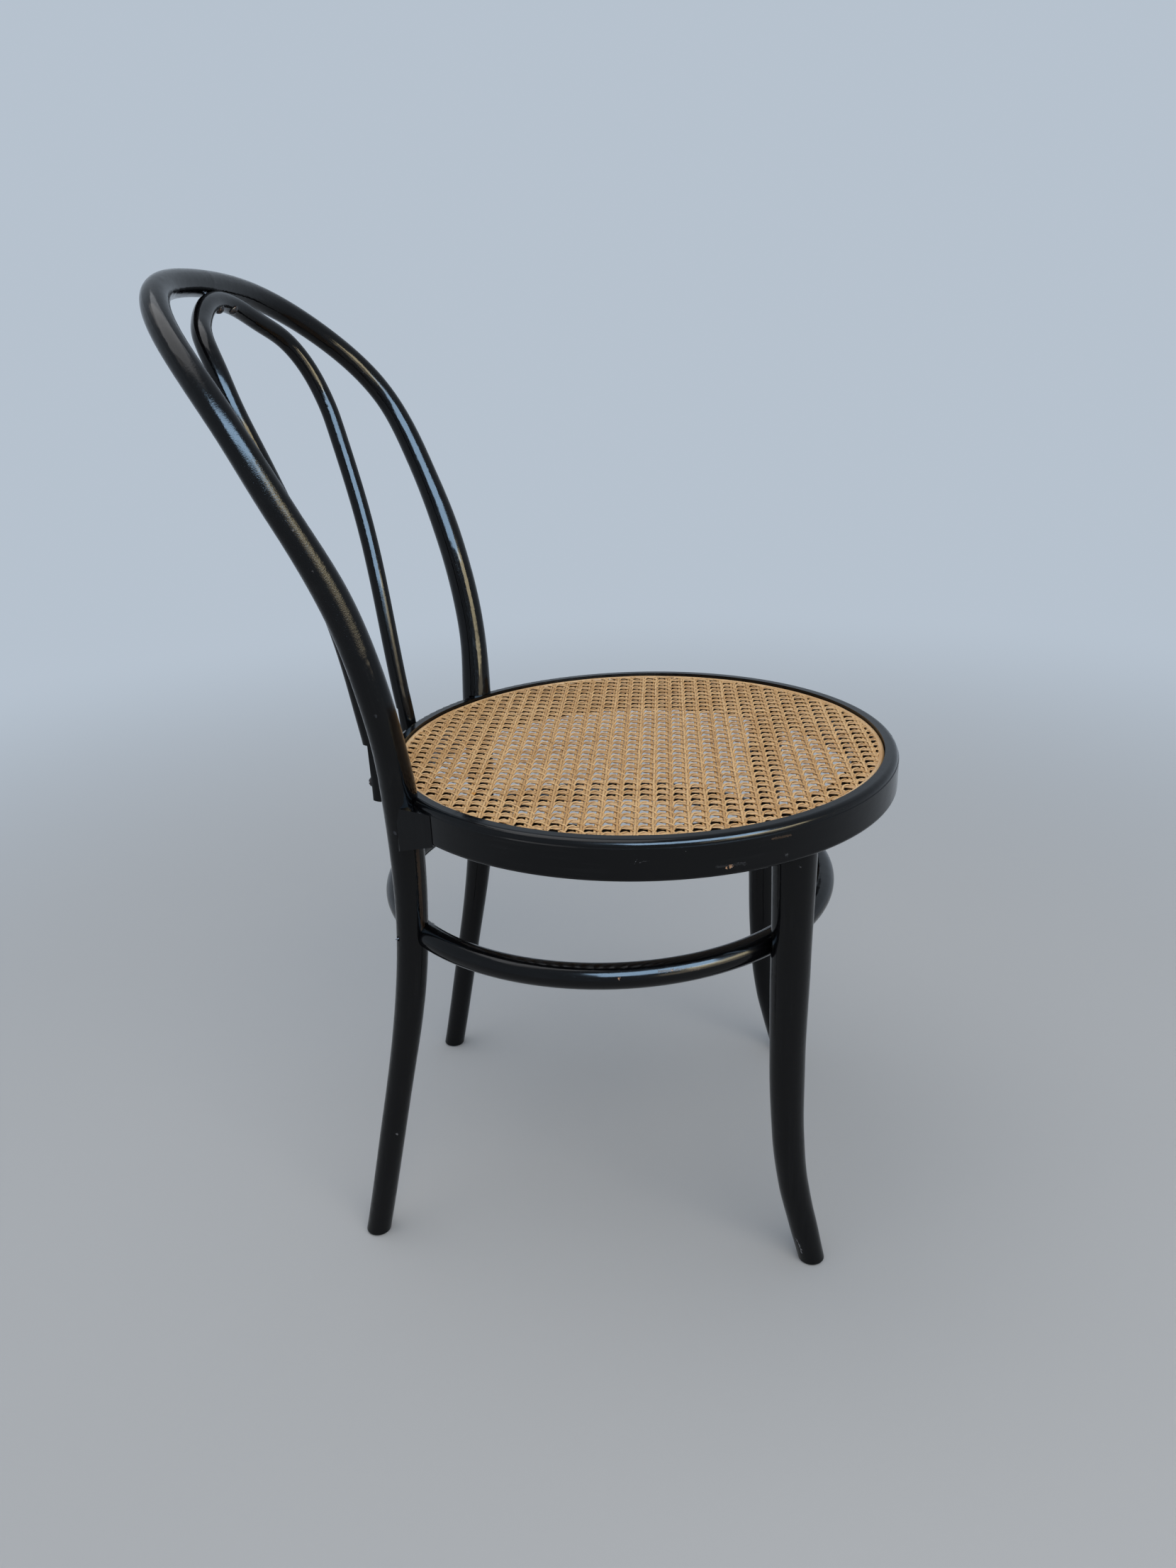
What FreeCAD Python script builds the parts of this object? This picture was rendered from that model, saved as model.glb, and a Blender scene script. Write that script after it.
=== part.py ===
import FreeCAD, Part
import math
import os
import Sketcher

# Bentwood bistro chair, in millimetres, with +Z up and the front towards -Y.
# The origin is on the floor, in the middle of the chair's box.

doc = FreeCAD.newDocument("bistro_chair")
sheet = doc.addObject("Spreadsheet::Sheet", "sizes")
Vector = FreeCAD.Vector

# Driving dimensions: name, value, what it is

DIMENSIONS = [
    ("seat_height", 425.0, "floor to the top of the seat ring"),
    ("seat_diameter", 442.0, "outside of the seat ring"),
    ("ring_height", 32.0, "seat ring, top to bottom"),
    ("ring_width", 37.0, "seat ring, outside to inside"),
    ("bead_height", 5.8, "rounded top edge, down to its crease"),
    ("bead_radius", 4.8, "rounding of that edge"),
    ("bead_setback", 0.7, "how far the bead stands in from the wall"),
    ("edge_radius", 3.6, "rounding of the ring's lower edge"),
    ("lip_width", 11.5, "outside of the ring to the groove"),
    ("groove_width", 6.0, "groove that holds the reed spline"),
    ("groove_depth", 8.0, "lip down to the floor of the groove"),
    ("ledge_drop", 4.4, "lip down to the ledge that the cane lies on"),
    ("cane_thickness", 1.2, "woven cane sheet"),
    ("spline_diameter", 5.5, "reed spline"),
    ("spline_gap", 1.0, "butt joint where the ends of the reed meet"),
    ("spline_joint_angle", 143.0, "bearing of that butt joint round the seat"),
    ("joint_x", 138.5, "half the distance between the rear legs at the seat"),
    ("joint_depth", 11.3, "how far the ring sits into the rear leg"),
    ("rear_leg_diameter", 28.6, "rear leg at the seat"),
    ("rear_foot_diameter", 21.6, "rear leg at the floor"),
    ("upright_diameter", 25.0, "outer bow above the seat"),
    ("arch_diameter", 20.6, "outer bow at its top"),
    ("back_rise", 379.3, "seat top to the middle of the outer bow's top"),
    ("back_reach", 164.0, "how far the outer bow's top lies behind the joint"),
    ("back_half_width", 45.9, "how much wider than the joint the bow is, each side"),
    ("rear_foot_back", 59.0, "rear foot behind the joint"),
    ("rear_foot_out", 10.7, "rear foot outside the joint"),
    ("bow_contact_slope", 47.92, "degrees below level from the outer bow's top to the inner bow's"),
    ("inner_bow_diameter", 15.4, "inner bow"),
    ("inner_foot_x", 51.5, "half the distance between the inner bow's ends"),
    ("inner_half_width", 97.0, "inner bow's widest half width"),
    ("inner_seat_depth", 0.8, "how far the inner bow is housed over the ring"),
    ("inner_tail", 7.0, "inner bow's ends below the ring"),
    ("inner_shoulder", 12.0, "shoulder of the flattened end above the ring"),
    ("inner_flat", 1.5, "depth of the flat on that end"),
    ("front_leg_x", 153.0, "half the distance between the front legs"),
    ("front_leg_y", 129.0, "front legs ahead of the seat's middle"),
    ("front_leg_diameter", 34.0, "front leg under the seat"),
    ("front_foot_diameter", 22.0, "front leg at the floor"),
    ("front_foot_forward", 26.0, "front foot ahead of the leg's top"),
    ("front_foot_in", 2.5, "front foot inside the leg's top"),
    ("front_knee_in", 5.4, "how far the front leg bows in at the leg ring"),
    ("left_leg_turn", 5.4, "degrees the left front leg stands back of the right one's mirror image"),
    ("foot_radius", 2.0, "rounding of each foot's edge"),
    ("tenon_diameter", 20.0, "round tenon on top of the front leg"),
    ("tenon_length", 19.0, "its length"),
    ("stretcher_height", 299.5, "floor to the middle of the leg ring"),
    ("stretcher_diameter", 20.6, "thickness of the leg ring"),
    ("stretcher_back", 30.0, "leg ring's middle behind the seat's middle"),
    ("front_housing", 0.5, "how far the leg ring is let into the front legs"),
    ("block_length", 41.0, "packing block, from the leg's middle along the ring"),
    ("block_wrap", 50.0, "degrees that the block reaches round the leg"),
    ("block_drop", 5.5, "top of the packing block below the ring's top"),
    ("block_tail", 14.0, "how far the block's underside falls towards the leg"),
    ("coach_screw_diameter", 6.0, "screw that holds the rear leg"),
    ("coach_screw_bite", 15.0, "its length in the rear leg"),
    ("coach_head_flats", 10.0, "its hexagon head, across the flats"),
    ("coach_head_height", 4.0, "height of that head"),
    ("washer_diameter", 17.0, "washer under that head"),
    ("washer_thickness", 1.5, "thickness of that washer"),
    ("wood_screw_diameter", 4.0, "screws of the bow, the ring and the tenon"),
    ("wood_screw_head", 8.6, "their round heads"),
    ("wood_screw_head_height", 2.8, "height of those heads"),
    ("screw_slot_width", 1.1, "slot across the head"),
    ("screw_slot_depth", 1.2, "depth of that slot"),
    ("inner_screw_length", 31.0, "inner bow's screw under its head"),
    ("inner_screw_drop", 23.0, "that screw below the ring's top"),
    ("top_screw_length", 24.0, "screws that join the two bows at the top"),
    ("top_screw_spacing", 26.0, "distance between those screws"),
    ("stretcher_screw_length", 34.0, "leg ring's screws under the head"),
    ("tenon_screw_length", 24.0, "screw that locks the front leg's tenon"),
    ("head_bed", 0.5, "how far a round head beds into the wood"),
    ("screw_clearance", 0.1, "round a screw in its hole"),
    ("wood_clearance", 0.1, "between wooden pieces that fit together"),
]


def write_sheet():
    """Puts each driving dimension in a row of the sheet, with its alias."""
    for row, (name, value, meaning) in enumerate(DIMENSIONS, start=1):
        sheet.set("A%d" % row, meaning)
        sheet.set("B%d" % row, str(value))
        sheet.setAlias("B%d" % row, name)
    doc.recompute()


write_sheet()


def size(name):
    """Reads one dimension from the sheet."""
    return float(sheet.get(name))


def cell(text):
    """Writes a formula's names with the sheet's name in front of each."""
    names = sorted((row[0] for row in DIMENSIONS), key=len, reverse=True)
    marks = {}
    for number, name in enumerate(names):
        mark = "@%03d@" % number
        if name in text:
            text = text.replace(name, mark)
            marks[mark] = "sizes.%s" % name
    for mark, full in marks.items():
        text = text.replace(mark, full)
    return text


# Working values: how finely the rods are made, and how far the cutting shapes overshoot

ROD_STEPS = 36
HALF_WAY = 0.5
HALVINGS = 60
BLOCK_DEPTH = 100.0
TOUCHING = 0.01
RUN_UP = 5.0
LONG_RUN_UP = 20.0
OVERSHOOT = 1.0

# Places that several pieces share

seat_radius = size("seat_diameter") / 2
ring_bottom = size("seat_height") - size("ring_height")
joint_height = size("seat_height") - size("ring_height") / 2
joint_polar = seat_radius + size("rear_leg_diameter") / 2 - size("joint_depth")
joint_y = math.sqrt(joint_polar ** 2 - size("joint_x") ** 2)
apex_y = joint_y + size("back_reach")

# The chair's box runs from the front of the seat ring to the back of the outer bow's top.
seat_y = (seat_radius - apex_y - size("arch_diameter") / 2) / 2
seat_middle = Vector(0, seat_y, 0)
stretcher_middle = Vector(0, seat_y + size("stretcher_back"), size("stretcher_height"))
left_turn = FreeCAD.Placement(Vector(0, 0, 0), FreeCAD.Rotation(Vector(0, 0, 1), size("left_leg_turn")),
                              seat_middle)


def placed(name, shape):
    """A document object that holds a shape worked out in code."""
    item = doc.addObject("Part::Feature", name)
    item.Shape = shape
    item.Label = name
    return item


def mirrored(shape):
    """The same shape on the other side of the chair."""
    return shape.mirror(Vector(0, 0, 0), Vector(1, 0, 0))


def largest(shape):
    """The biggest solid of a shape: what is left when offcuts are thrown away."""
    return max(shape.Solids, key=lambda solid: solid.Volume)


def curve_through(points):
    """A smooth curve through a row of points, and its parameter at each of them."""
    knots = [0.0]
    for start, end in zip(points, points[1:]):
        knots.append(knots[-1] + math.sqrt((end - start).Length))
    curve = Part.BSplineCurve()
    curve.interpolate(Points=points, Parameters=knots)
    return curve, knots


def bent_rod(stations, steps, share=1.0):
    """A round rod whose middle runs through the stations (point, diameter).

    The sections stay square to the middle line and are carried along it without twisting.
    A share below 1 stops the rod part of the way along."""
    curve, knots = curve_through([point for point, diameter in stations])
    widths = [diameter for point, diameter in stations]
    sections = []
    tangent = None
    for step in range(steps + 1):
        at = share * knots[-1] * step / steps
        middle = curve.value(at)
        heading = Vector(*curve.tangent(at)[0])
        if tangent is None:
            side = heading.cross(Vector(1, 0, 0))
            side.normalize()
            side = side.cross(heading)
        else:
            side = FreeCAD.Rotation(tangent, heading).multVec(side)
        tangent = heading
        over = heading.cross(side)
        frame = FreeCAD.Matrix(side.x, over.x, heading.x, middle.x,
                               side.y, over.y, heading.y, middle.y,
                               side.z, over.z, heading.z, middle.z,
                               0, 0, 0, 1)
        circle = Part.makeCircle(diameter_at(at, knots, widths) / 2)
        circle.Placement = FreeCAD.Placement(frame)
        sections.append(Part.Wire([circle]))
    return Part.makeLoft(sections, True, False)


def both_halves(half):
    """Joins a half rod, which ends in the chair's middle plane, to its mirror image."""
    return half.fuse(mirrored(half)).removeSplitter()


def diameter_at(at, knots, widths):
    """The diameter at one place, blended smoothly between the two stations beside it."""
    for low, high, start, end in zip(knots, knots[1:], widths, widths[1:]):
        if at <= high:
            share = max(0.0, (at - low) / (high - low))
            return start + (end - start) * share * share * (3 - 2 * share)
    return widths[-1]


def radial(point, middle=seat_middle):
    """The level direction from a middle out to a point."""
    direction = Vector(point.x - middle.x, point.y - middle.y, 0)
    direction.normalize()
    return direction


def around(direction, point, shape):
    """Turns a shape made along +Z to point along a direction, and puts it at a point."""
    turned = shape.copy()
    turned.Placement = FreeCAD.Placement(point, FreeCAD.Rotation(Vector(0, 0, 1), direction))
    return turned


def hole(point, direction, diameter, length):
    """The cylinder that a drill leaves."""
    return Part.makeCylinder(diameter / 2, length, point, direction)


# Outer bow: one bent rod that is both rear legs and the back's outer loop


def outer_stations(slack=0.0):
    """Middle line of the outer bow, from the left foot over the top to the right foot."""
    joint_x = size("joint_x")
    foot_out = size("rear_foot_out")
    foot_back = size("rear_foot_back")
    leg = size("rear_leg_diameter")
    foot = size("rear_foot_diameter")
    upright = size("upright_diameter")
    arch = size("arch_diameter")
    shaved = 2.6
    fuller_leg = 0.8
    fuller_upright = 0.6
    slimmer_arch = 0.4
    top = size("seat_height") + size("back_rise")
    # Leg: shares of the splay and of the rake, then the share of the joint's height
    leg_rows = [
        (1.13, 1.11, -0.059, foot),
        (1.00, 1.00, 0.0, foot),
        (0.32, 0.51, 0.333, foot + fuller_leg),
        (-0.28, 0.08, 0.685, leg - shaved),
        (0.0, 0.0, 1.0, leg),
    ]
    # Back: shares of the widening and of the reach, then the share of the rise below the top
    back_rows = [
        (0.316, 0.020, 0.839, upright + fuller_upright),
        (0.577, 0.134, 0.602, upright),
        (0.926, 0.309, 0.407, upright - shaved),
        (1.0, 0.500, 0.243, arch),
    ]
    # Arch: shares of the widest half width, of the reach and of the rise below the top
    arch_rows = [
        (0.844, 0.752, 0.110, arch - slimmer_arch),
        (0.517, 0.949, 0.024, arch),
    ]
    half = []
    for out, back, up, wide in leg_rows:
        half.append((Vector(joint_x + out * foot_out, joint_y + back * foot_back, up * joint_height), wide))
    for out, back, down, wide in back_rows:
        half.append((Vector(joint_x + out * size("back_half_width"), joint_y + back * size("back_reach"),
                            top - down * size("back_rise")), wide))
    for out, back, down, wide in arch_rows:
        half.append((Vector(out * (joint_x + size("back_half_width")), joint_y + back * size("back_reach"),
                            top - down * size("back_rise")), wide))
    return with_other_side(half, (Vector(0, apex_y, top), arch), slack)


def with_other_side(half, middle, slack):
    """A whole bow from one side of it and its middle, made thicker by the slack all round."""
    other = [(Vector(-point.x, point.y, point.z), wide) for point, wide in reversed(half)]
    return [(point, wide + 2 * slack) for point, wide in half + [middle] + other]


def in_row_frame(stations):
    """Moves stations measured from the seat's middle into the chair's frame."""
    return [(point + seat_middle, wide) for point, wide in stations]


def floor_block():
    """What lies under the floor, and is cut off the feet."""
    reach = 4 * seat_radius
    return Part.makeBox(reach, reach, BLOCK_DEPTH, Vector(-reach / 2, -reach / 2, -BLOCK_DEPTH))


def rounded_foot(solid):
    """Rounds the edge where a foot meets the floor."""
    edges = [edge for edge in solid.Edges
             if abs(edge.BoundBox.ZMin) < TOUCHING and abs(edge.BoundBox.ZMax) < TOUCHING]
    return solid.makeFillet(size("foot_radius"), edges)


def ring_space(clearance):
    """The space of the seat ring, which is cut out of what is housed over it."""
    height = size("ring_height") + 2 * clearance
    base = Vector(0, seat_y, ring_bottom - clearance)
    return Part.makeCylinder(seat_radius + clearance, height, base)


def sided(point):
    """A point and its mirror image."""
    return [point, Vector(-point.x, point.y, point.z)]


joint_points = sided(Vector(size("joint_x"), joint_y + seat_y, joint_height))
outer_half = bent_rod(in_row_frame(outer_stations()), ROD_STEPS, HALF_WAY)
outer_room = bent_rod(in_row_frame(outer_stations(size("wood_clearance"))), ROD_STEPS, HALF_WAY)


def stretcher_radius():
    """Middle radius of the leg ring, so that it seats against the front legs."""
    front = Vector(size("front_leg_x") + front_lean(size("stretcher_height")),
                   seat_y - size("front_leg_y"), 0)
    reach = (front - Vector(stretcher_middle.x, stretcher_middle.y, 0)).Length
    inside = reach - front_diameter_at(size("stretcher_height")) / 2
    return inside + size("front_housing") - size("stretcher_diameter") / 2


def front_lean(height):
    """How far outside its top the front leg is at a height: below its top it bows in."""
    fall = 1 - height / ring_bottom
    toe_in = size("front_foot_in") * fall ** 2
    knee = size("front_knee_in") * math.sin(math.pi * min(1.0, max(0.0, fall)))
    return -toe_in - knee


def front_diameter_at(height):
    """The front leg tapers from the seat to the floor, a little faster near the floor."""
    share = height / ring_bottom
    fullness = 0.8
    taper = size("front_leg_diameter") - size("front_foot_diameter")
    return size("front_foot_diameter") + taper * share ** fullness


def front_leg():
    """A front leg where the left one's mirror image would be: a tapered rod that sweeps forward
    at its foot, with a round tenon."""
    forward = size("front_foot_forward")
    # Share of the leg's height, and of its forward sweep there
    rows = [(-0.05, 1.15), (0.0, 1.0), (0.10, 0.64), (0.20, 0.31), (0.32, 0.10), (0.5, 0.0),
            (0.75, 0.0), (1.05, 0.0)]
    stations = []
    for share, sweep in rows:
        height = share * ring_bottom
        middle = Vector(size("front_leg_x") + front_lean(height),
                        seat_y - size("front_leg_y") - sweep * forward, height)
        stations.append((middle, front_diameter_at(max(0.0, height))))
    above = floor_block()
    above.translate(Vector(0, 0, ring_bottom + BLOCK_DEPTH))
    leg = rounded_foot(bent_rod(stations, ROD_STEPS).cut([floor_block(), above]))
    top = Vector(size("front_leg_x"), seat_y - size("front_leg_y"), ring_bottom)
    tenon = Part.makeCylinder(size("tenon_diameter") / 2, size("tenon_length"), top)
    return leg.fuse(tenon).removeSplitter()


# Seat ring: a revolved section with a bead, a groove for the spline and a ledge for the cane


def seat_ring_body():
    """The ring before the joints are cut: its outline is bound to the sheet."""
    body = doc.addObject("PartDesign::Body", "seat_ring_turned")
    sketch = body.newObject("Sketcher::SketchObject", "ring_section")
    plane = [item for item in body.Origin.OriginFeatures if item.Role == "XZ_Plane"][0]
    sketch.AttachmentSupport = [(plane, "")]
    sketch.MapMode = "FlatFace"
    radius = "seat_diameter / 2"
    # Corners of the section, going round from the lower inside edge: (radius, height)
    outline = [
        (radius + " - ring_width", "seat_height - ring_height"),
        (radius + " - edge_radius", "seat_height - ring_height"),
        (radius, "seat_height - ring_height + edge_radius"),
        (radius, "seat_height - bead_height"),
        (radius + " - bead_setback", "seat_height - bead_height + bead_setback"),
        (radius + " - bead_setback", "seat_height - bead_radius"),
        (radius + " - bead_setback - bead_radius", "seat_height"),
        (radius + " - lip_width", "seat_height"),
        (radius + " - lip_width", "seat_height - groove_depth"),
        (radius + " - lip_width - groove_width", "seat_height - groove_depth"),
        (radius + " - lip_width - groove_width", "seat_height - ledge_drop"),
        (radius + " - ring_width", "seat_height - ledge_drop"),
    ]
    rounded = {1: "edge_radius", 5: "bead_radius"}
    add_bound_outline(sketch, outline, rounded)
    turn = body.newObject("PartDesign::Revolution", "ring_turn")
    turn.Profile = sketch
    turn.ReferenceAxis = (sketch, ["V_Axis"])
    turn.Angle = 360
    body.Tip = turn
    return body


def add_bound_outline(sketch, outline, rounded):
    """Adds a closed outline whose corners are bound to the sheet.

    A side in rounded is a quarter circle of the named radius that bulges outwards; the rest
    are straight."""
    numbers = [(evaluate(x), evaluate(z)) for x, z in outline]
    corners = [Vector(x, z, 0) for x, z in numbers]
    count = len(corners)
    ends = []
    for index in range(count):
        start, end = corners[index], corners[(index + 1) % count]
        if index in rounded:
            middle = bulge(start, end)
            sketch.addGeometry(Part.Arc(start, middle, end), False)
            ends.append(arc_ends(sketch.Geometry[index], start))
        else:
            sketch.addGeometry(Part.LineSegment(start, end), False)
            ends.append((1, 2))
    for index in range(count):
        after = (index + 1) % count
        sketch.addConstraint(Sketcher.Constraint("Coincident", index, ends[index][1], after, ends[after][0]))
    for index, (x, z) in enumerate(outline):
        bind(sketch, "DistanceX", index, ends[index][0], corners[index].x, x)
        bind(sketch, "DistanceY", index, ends[index][0], corners[index].y, z)
    for index, name in rounded.items():
        radius = sketch.Geometry[index].Radius
        number = sketch.addConstraint(Sketcher.Constraint("Radius", index, radius))
        sketch.setExpression("Constraints[%d]" % number, cell(name))


def bulge(start, end):
    """Middle point of the quarter circle between two corners, on the outer side."""
    if end.x > start.x:
        centre = Vector(start.x, end.y, 0)
    else:
        centre = Vector(end.x, start.y, 0)
    middle = (start + end) * 0.5 - centre
    middle.normalize()
    return centre + middle * abs(end.x - start.x)


def arc_ends(arc, start):
    """Which end of an arc is its start: the sketch numbers them 1 and 2."""
    if (arc.StartPoint - start).Length < TOUCHING:
        return (1, 2)
    return (2, 1)


def bind(sketch, kind, index, end, value, formula):
    """Ties one coordinate of a corner to a formula of the sheet."""
    number = sketch.addConstraint(Sketcher.Constraint(kind, -1, 1, index, end, value))
    sketch.setExpression("Constraints[%d]" % number, cell(formula))


def evaluate(formula):
    """Works out a formula of plain sums and quotients with the sheet's values."""
    total = 0.0
    sign = 1.0
    words = formula.replace("-", " - ").replace("+", " + ").split()
    index = 0
    while index < len(words):
        word = words[index]
        if word in "+-":
            sign = 1.0 if word == "+" else -1.0
            index += 1
            continue
        value = size(word)
        if index + 2 < len(words) and words[index + 1] == "/":
            value /= float(words[index + 2])
            index += 2
        total += sign * value
        index += 1
    return total


ring_body = seat_ring_body()
ring_body.Placement = FreeCAD.Placement(seat_middle, FreeCAD.Rotation())
doc.recompute()

# Fastenings of the rear legs


def hexagon(flats, height):
    """A six-sided prism along +Z."""
    reach = flats / math.sqrt(3)
    corners = [Vector(reach * math.cos(math.radians(60 * k)), reach * math.sin(math.radians(60 * k)), 0)
               for k in range(7)]
    return Part.Face(Part.makePolygon(corners)).extrude(Vector(0, 0, height))


def coach_screw_length():
    """From under the head, through the ring's wall and into the rear leg."""
    wall = size("ring_width") - size("joint_depth")
    return wall + size("coach_screw_bite")


def coach_screw():
    """A hexagon-head screw: the head's underside is at the origin, the shank runs along +Z."""
    length = coach_screw_length()
    radius = size("coach_screw_diameter") / 2
    shank_length = 0.9 * length
    tip_radius = 0.4
    head = hexagon(size("coach_head_flats"), size("coach_head_height"))
    head.translate(Vector(0, 0, -size("coach_head_height")))
    shank = Part.makeCylinder(radius, shank_length)
    point = Part.makeCone(radius, tip_radius, length - shank_length, Vector(0, 0, shank_length))
    return head.fuse([shank, point]).removeSplitter()


def coach_seat(point):
    """Where the washer lies: a spot face on the ring's inner wall."""
    inner = seat_radius - size("ring_width") + size("washer_thickness")
    return Vector(seat_middle.x, seat_middle.y, point.z) + radial(point) * inner


def coach_screws():
    """One screw for each rear leg."""
    under_head = size("washer_thickness")
    solids = []
    for point in joint_points:
        out = radial(point)
        solids.append(around(out, coach_seat(point) - out * under_head, coach_screw()))
    return Part.makeCompound(solids)


def washers():
    """One washer under each of those heads."""
    solids = []
    for point in joint_points:
        out = radial(point)
        base = coach_seat(point) - out * size("washer_thickness")
        disc = hole(base, out, size("washer_diameter"), size("washer_thickness"))
        bore = size("coach_screw_diameter") + 2 * size("screw_clearance")
        solids.append(disc.cut(hole(base, out, bore, size("washer_thickness"))))
    return Part.makeCompound(solids)


def coach_holes():
    """The drilled way of each coach screw, and the spot face for its washer."""
    bore = size("coach_screw_diameter") + 2 * size("screw_clearance")
    solids = []
    for point in joint_points:
        out = radial(point)
        start = coach_seat(point) - out * LONG_RUN_UP
        solids.append(hole(start, out, bore, coach_screw_length() + LONG_RUN_UP))
        wide = size("washer_diameter") + 2 * size("wood_clearance")
        solids.append(hole(start, out, wide, LONG_RUN_UP))
    return solids


# Packing blocks fill the wedge-shaped gaps between ring and leg


def packing_block(side):
    """The wedge that fills the sharp corner between the ring's wall and one rear leg.

    It is drawn for a leg straight out along +X with the front of the chair towards -Y, as a plan
    and a side view that are pulled through each other, and is then turned to the leg."""
    length = size("block_length")
    leg_radius = size("rear_leg_diameter") / 2
    wrap = math.radians(size("block_wrap"))
    top = size("seat_height") - size("block_drop")
    low = ring_bottom - size("block_tail")
    wall = math.sqrt(seat_radius ** 2 - length ** 2)
    outer = joint_polar + leg_radius * math.cos(wrap)
    inner = seat_radius - size("joint_depth")
    blunt_end = 0.5
    plan = [(inner, 0), (inner, -length), (wall + blunt_end, -length),
            (outer, -leg_radius * math.sin(wrap)), (outer, 0)]
    profile = [(0, low), (-length, ring_bottom), (-length, top), (0, top)]
    prism = pulled([Vector(x, y, low) for x, y in plan], Vector(0, 0, top - low))
    slab = pulled([Vector(inner, y, z) for y, z in profile], Vector(outer - inner, 0, 0))
    block = prism.common(slab)
    point = joint_points[0]
    heading = math.degrees(math.atan2(point.y - seat_y, point.x))
    block.Placement = FreeCAD.Placement(seat_middle, FreeCAD.Rotation(Vector(0, 0, 1), heading))
    core = hole(Vector(0, seat_y, low - OVERSHOOT), Vector(0, 0, 1),
                2 * (seat_radius + size("wood_clearance")), top - low + 2 * OVERSHOOT)
    block = largest(block.cut([core, outer_room]))
    return block if side == "left" else mirrored(block)


def pulled(corners, along):
    """A prism: a closed outline pulled along a direction."""
    return Part.Face(Part.makePolygon(corners + corners[:1])).extrude(along)


# Round-head wood screws


def wood_screw(length):
    """A slotted round-head screw: the head's underside is at the origin, the shank along +Z."""
    radius = size("wood_screw_diameter") / 2
    head_radius = size("wood_screw_head") / 2
    height = size("wood_screw_head_height")
    shank_length = 0.8 * length
    tip_radius = 0.3
    ball = (head_radius ** 2 + height ** 2) / (2 * height)
    dome = Part.makeSphere(ball, Vector(0, 0, ball - height))
    dome = dome.common(Part.makeCylinder(head_radius + OVERSHOOT, height, Vector(0, 0, -height)))
    slot_end = head_radius + OVERSHOOT
    slot = Part.makeBox(2 * slot_end, size("screw_slot_width"), size("screw_slot_depth"),
                        Vector(-slot_end, -size("screw_slot_width") / 2, -height))
    shank = Part.makeCylinder(radius, shank_length)
    point = Part.makeCone(radius, tip_radius, length - shank_length, Vector(0, 0, shank_length))
    return dome.cut(slot).fuse([shank, point]).removeSplitter()


def screw_hole(start, direction, length):
    """The hole of a wood screw, begun a little before the place where its head beds."""
    bore = size("wood_screw_diameter") + 2 * size("screw_clearance")
    return hole(start - direction * RUN_UP, direction, bore, length + RUN_UP)


def head_hole(start, direction):
    """The way of a wood screw's head down to the place where it beds."""
    wide = size("wood_screw_head") + 2 * size("wood_clearance")
    return hole(start - direction * RUN_UP, direction, wide, RUN_UP)


# Inner bow: a slender hairpin screwed to the back of the ring and to the outer bow's top

inner_polar = seat_radius + size("inner_bow_diameter") / 2 - size("inner_seat_depth")
inner_foot_y = math.sqrt(inner_polar ** 2 - size("inner_foot_x") ** 2)


def bow_top_direction():
    """The way from the outer bow's top down to the inner bow's, square to both rods."""
    slope = math.radians(size("bow_contact_slope"))
    return Vector(0, -math.cos(slope), -math.sin(slope))


def inner_stations():
    """Middle line of the inner bow, from its left end over the top to its right end."""
    foot_x = size("inner_foot_x")
    wide = size("inner_half_width")
    thick = size("inner_bow_diameter")
    base = size("seat_height")
    apart = (size("arch_diameter") + thick) / 2 + size("wood_clearance")
    top = Vector(0, apex_y, base + size("back_rise")) + bow_top_direction() * apart
    rise = top.z - base
    reach = top.y - inner_foot_y
    # Sides: shares of the widening, of the reach and of the rise above the seat
    side_rows = [
        (0.0, 0.033, 0.046),
        (0.018, 0.058, 0.096),
        (0.10, 0.116, 0.222),
        (0.308, 0.199, 0.369),
        (0.624, 0.331, 0.533),
        (0.912, 0.500, 0.700),
        (1.0, 0.564, 0.757),
    ]
    # Arch: shares of the widest half width, of the reach and of the rise
    arch_rows = [
        (0.997, 0.634, 0.812),
        (0.945, 0.713, 0.866),
        (0.825, 0.822, 0.920),
        (0.60, 0.914, 0.955),
        (0.32, 0.977, 0.986),
    ]
    half = [
        (Vector(foot_x, inner_foot_y, ring_bottom - size("inner_tail")), thick),
        (Vector(foot_x, inner_foot_y, base - 0.45 * size("ring_height")), thick),
    ]
    for out, back, up in side_rows:
        half.append((Vector(foot_x + out * (wide - foot_x), inner_foot_y + back * reach,
                            base + up * rise), thick))
    for out, back, up in arch_rows:
        half.append((Vector(out * wide, inner_foot_y + back * reach, base + up * rise), thick))
    return with_other_side(half, (top, thick), 0.0)


inner_ends = sided(Vector(size("inner_foot_x"), inner_foot_y + seat_y,
                          size("seat_height") - size("inner_screw_drop")))


def inner_flat_cutter(point):
    """The slice taken off the outside of the inner bow's end, up to its shoulder."""
    out = radial(point)
    face = size("inner_bow_diameter") / 2 - size("inner_flat")
    low = ring_bottom - size("inner_tail") - RUN_UP
    height = size("seat_height") + size("inner_shoulder") - low
    wide = 3 * size("inner_bow_diameter")
    block = Part.makeBox(wide, wide, height, Vector(0, -wide / 2, 0))
    start = Vector(point.x, point.y, low) + out * face
    block.Placement = FreeCAD.Placement(start, FreeCAD.Rotation(Vector(1, 0, 0), out))
    return block


def inner_screw_seat(point):
    """Where the inner bow's screw head rests, on the flat."""
    return point + radial(point) * (size("inner_bow_diameter") / 2 - size("inner_flat"))


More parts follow.
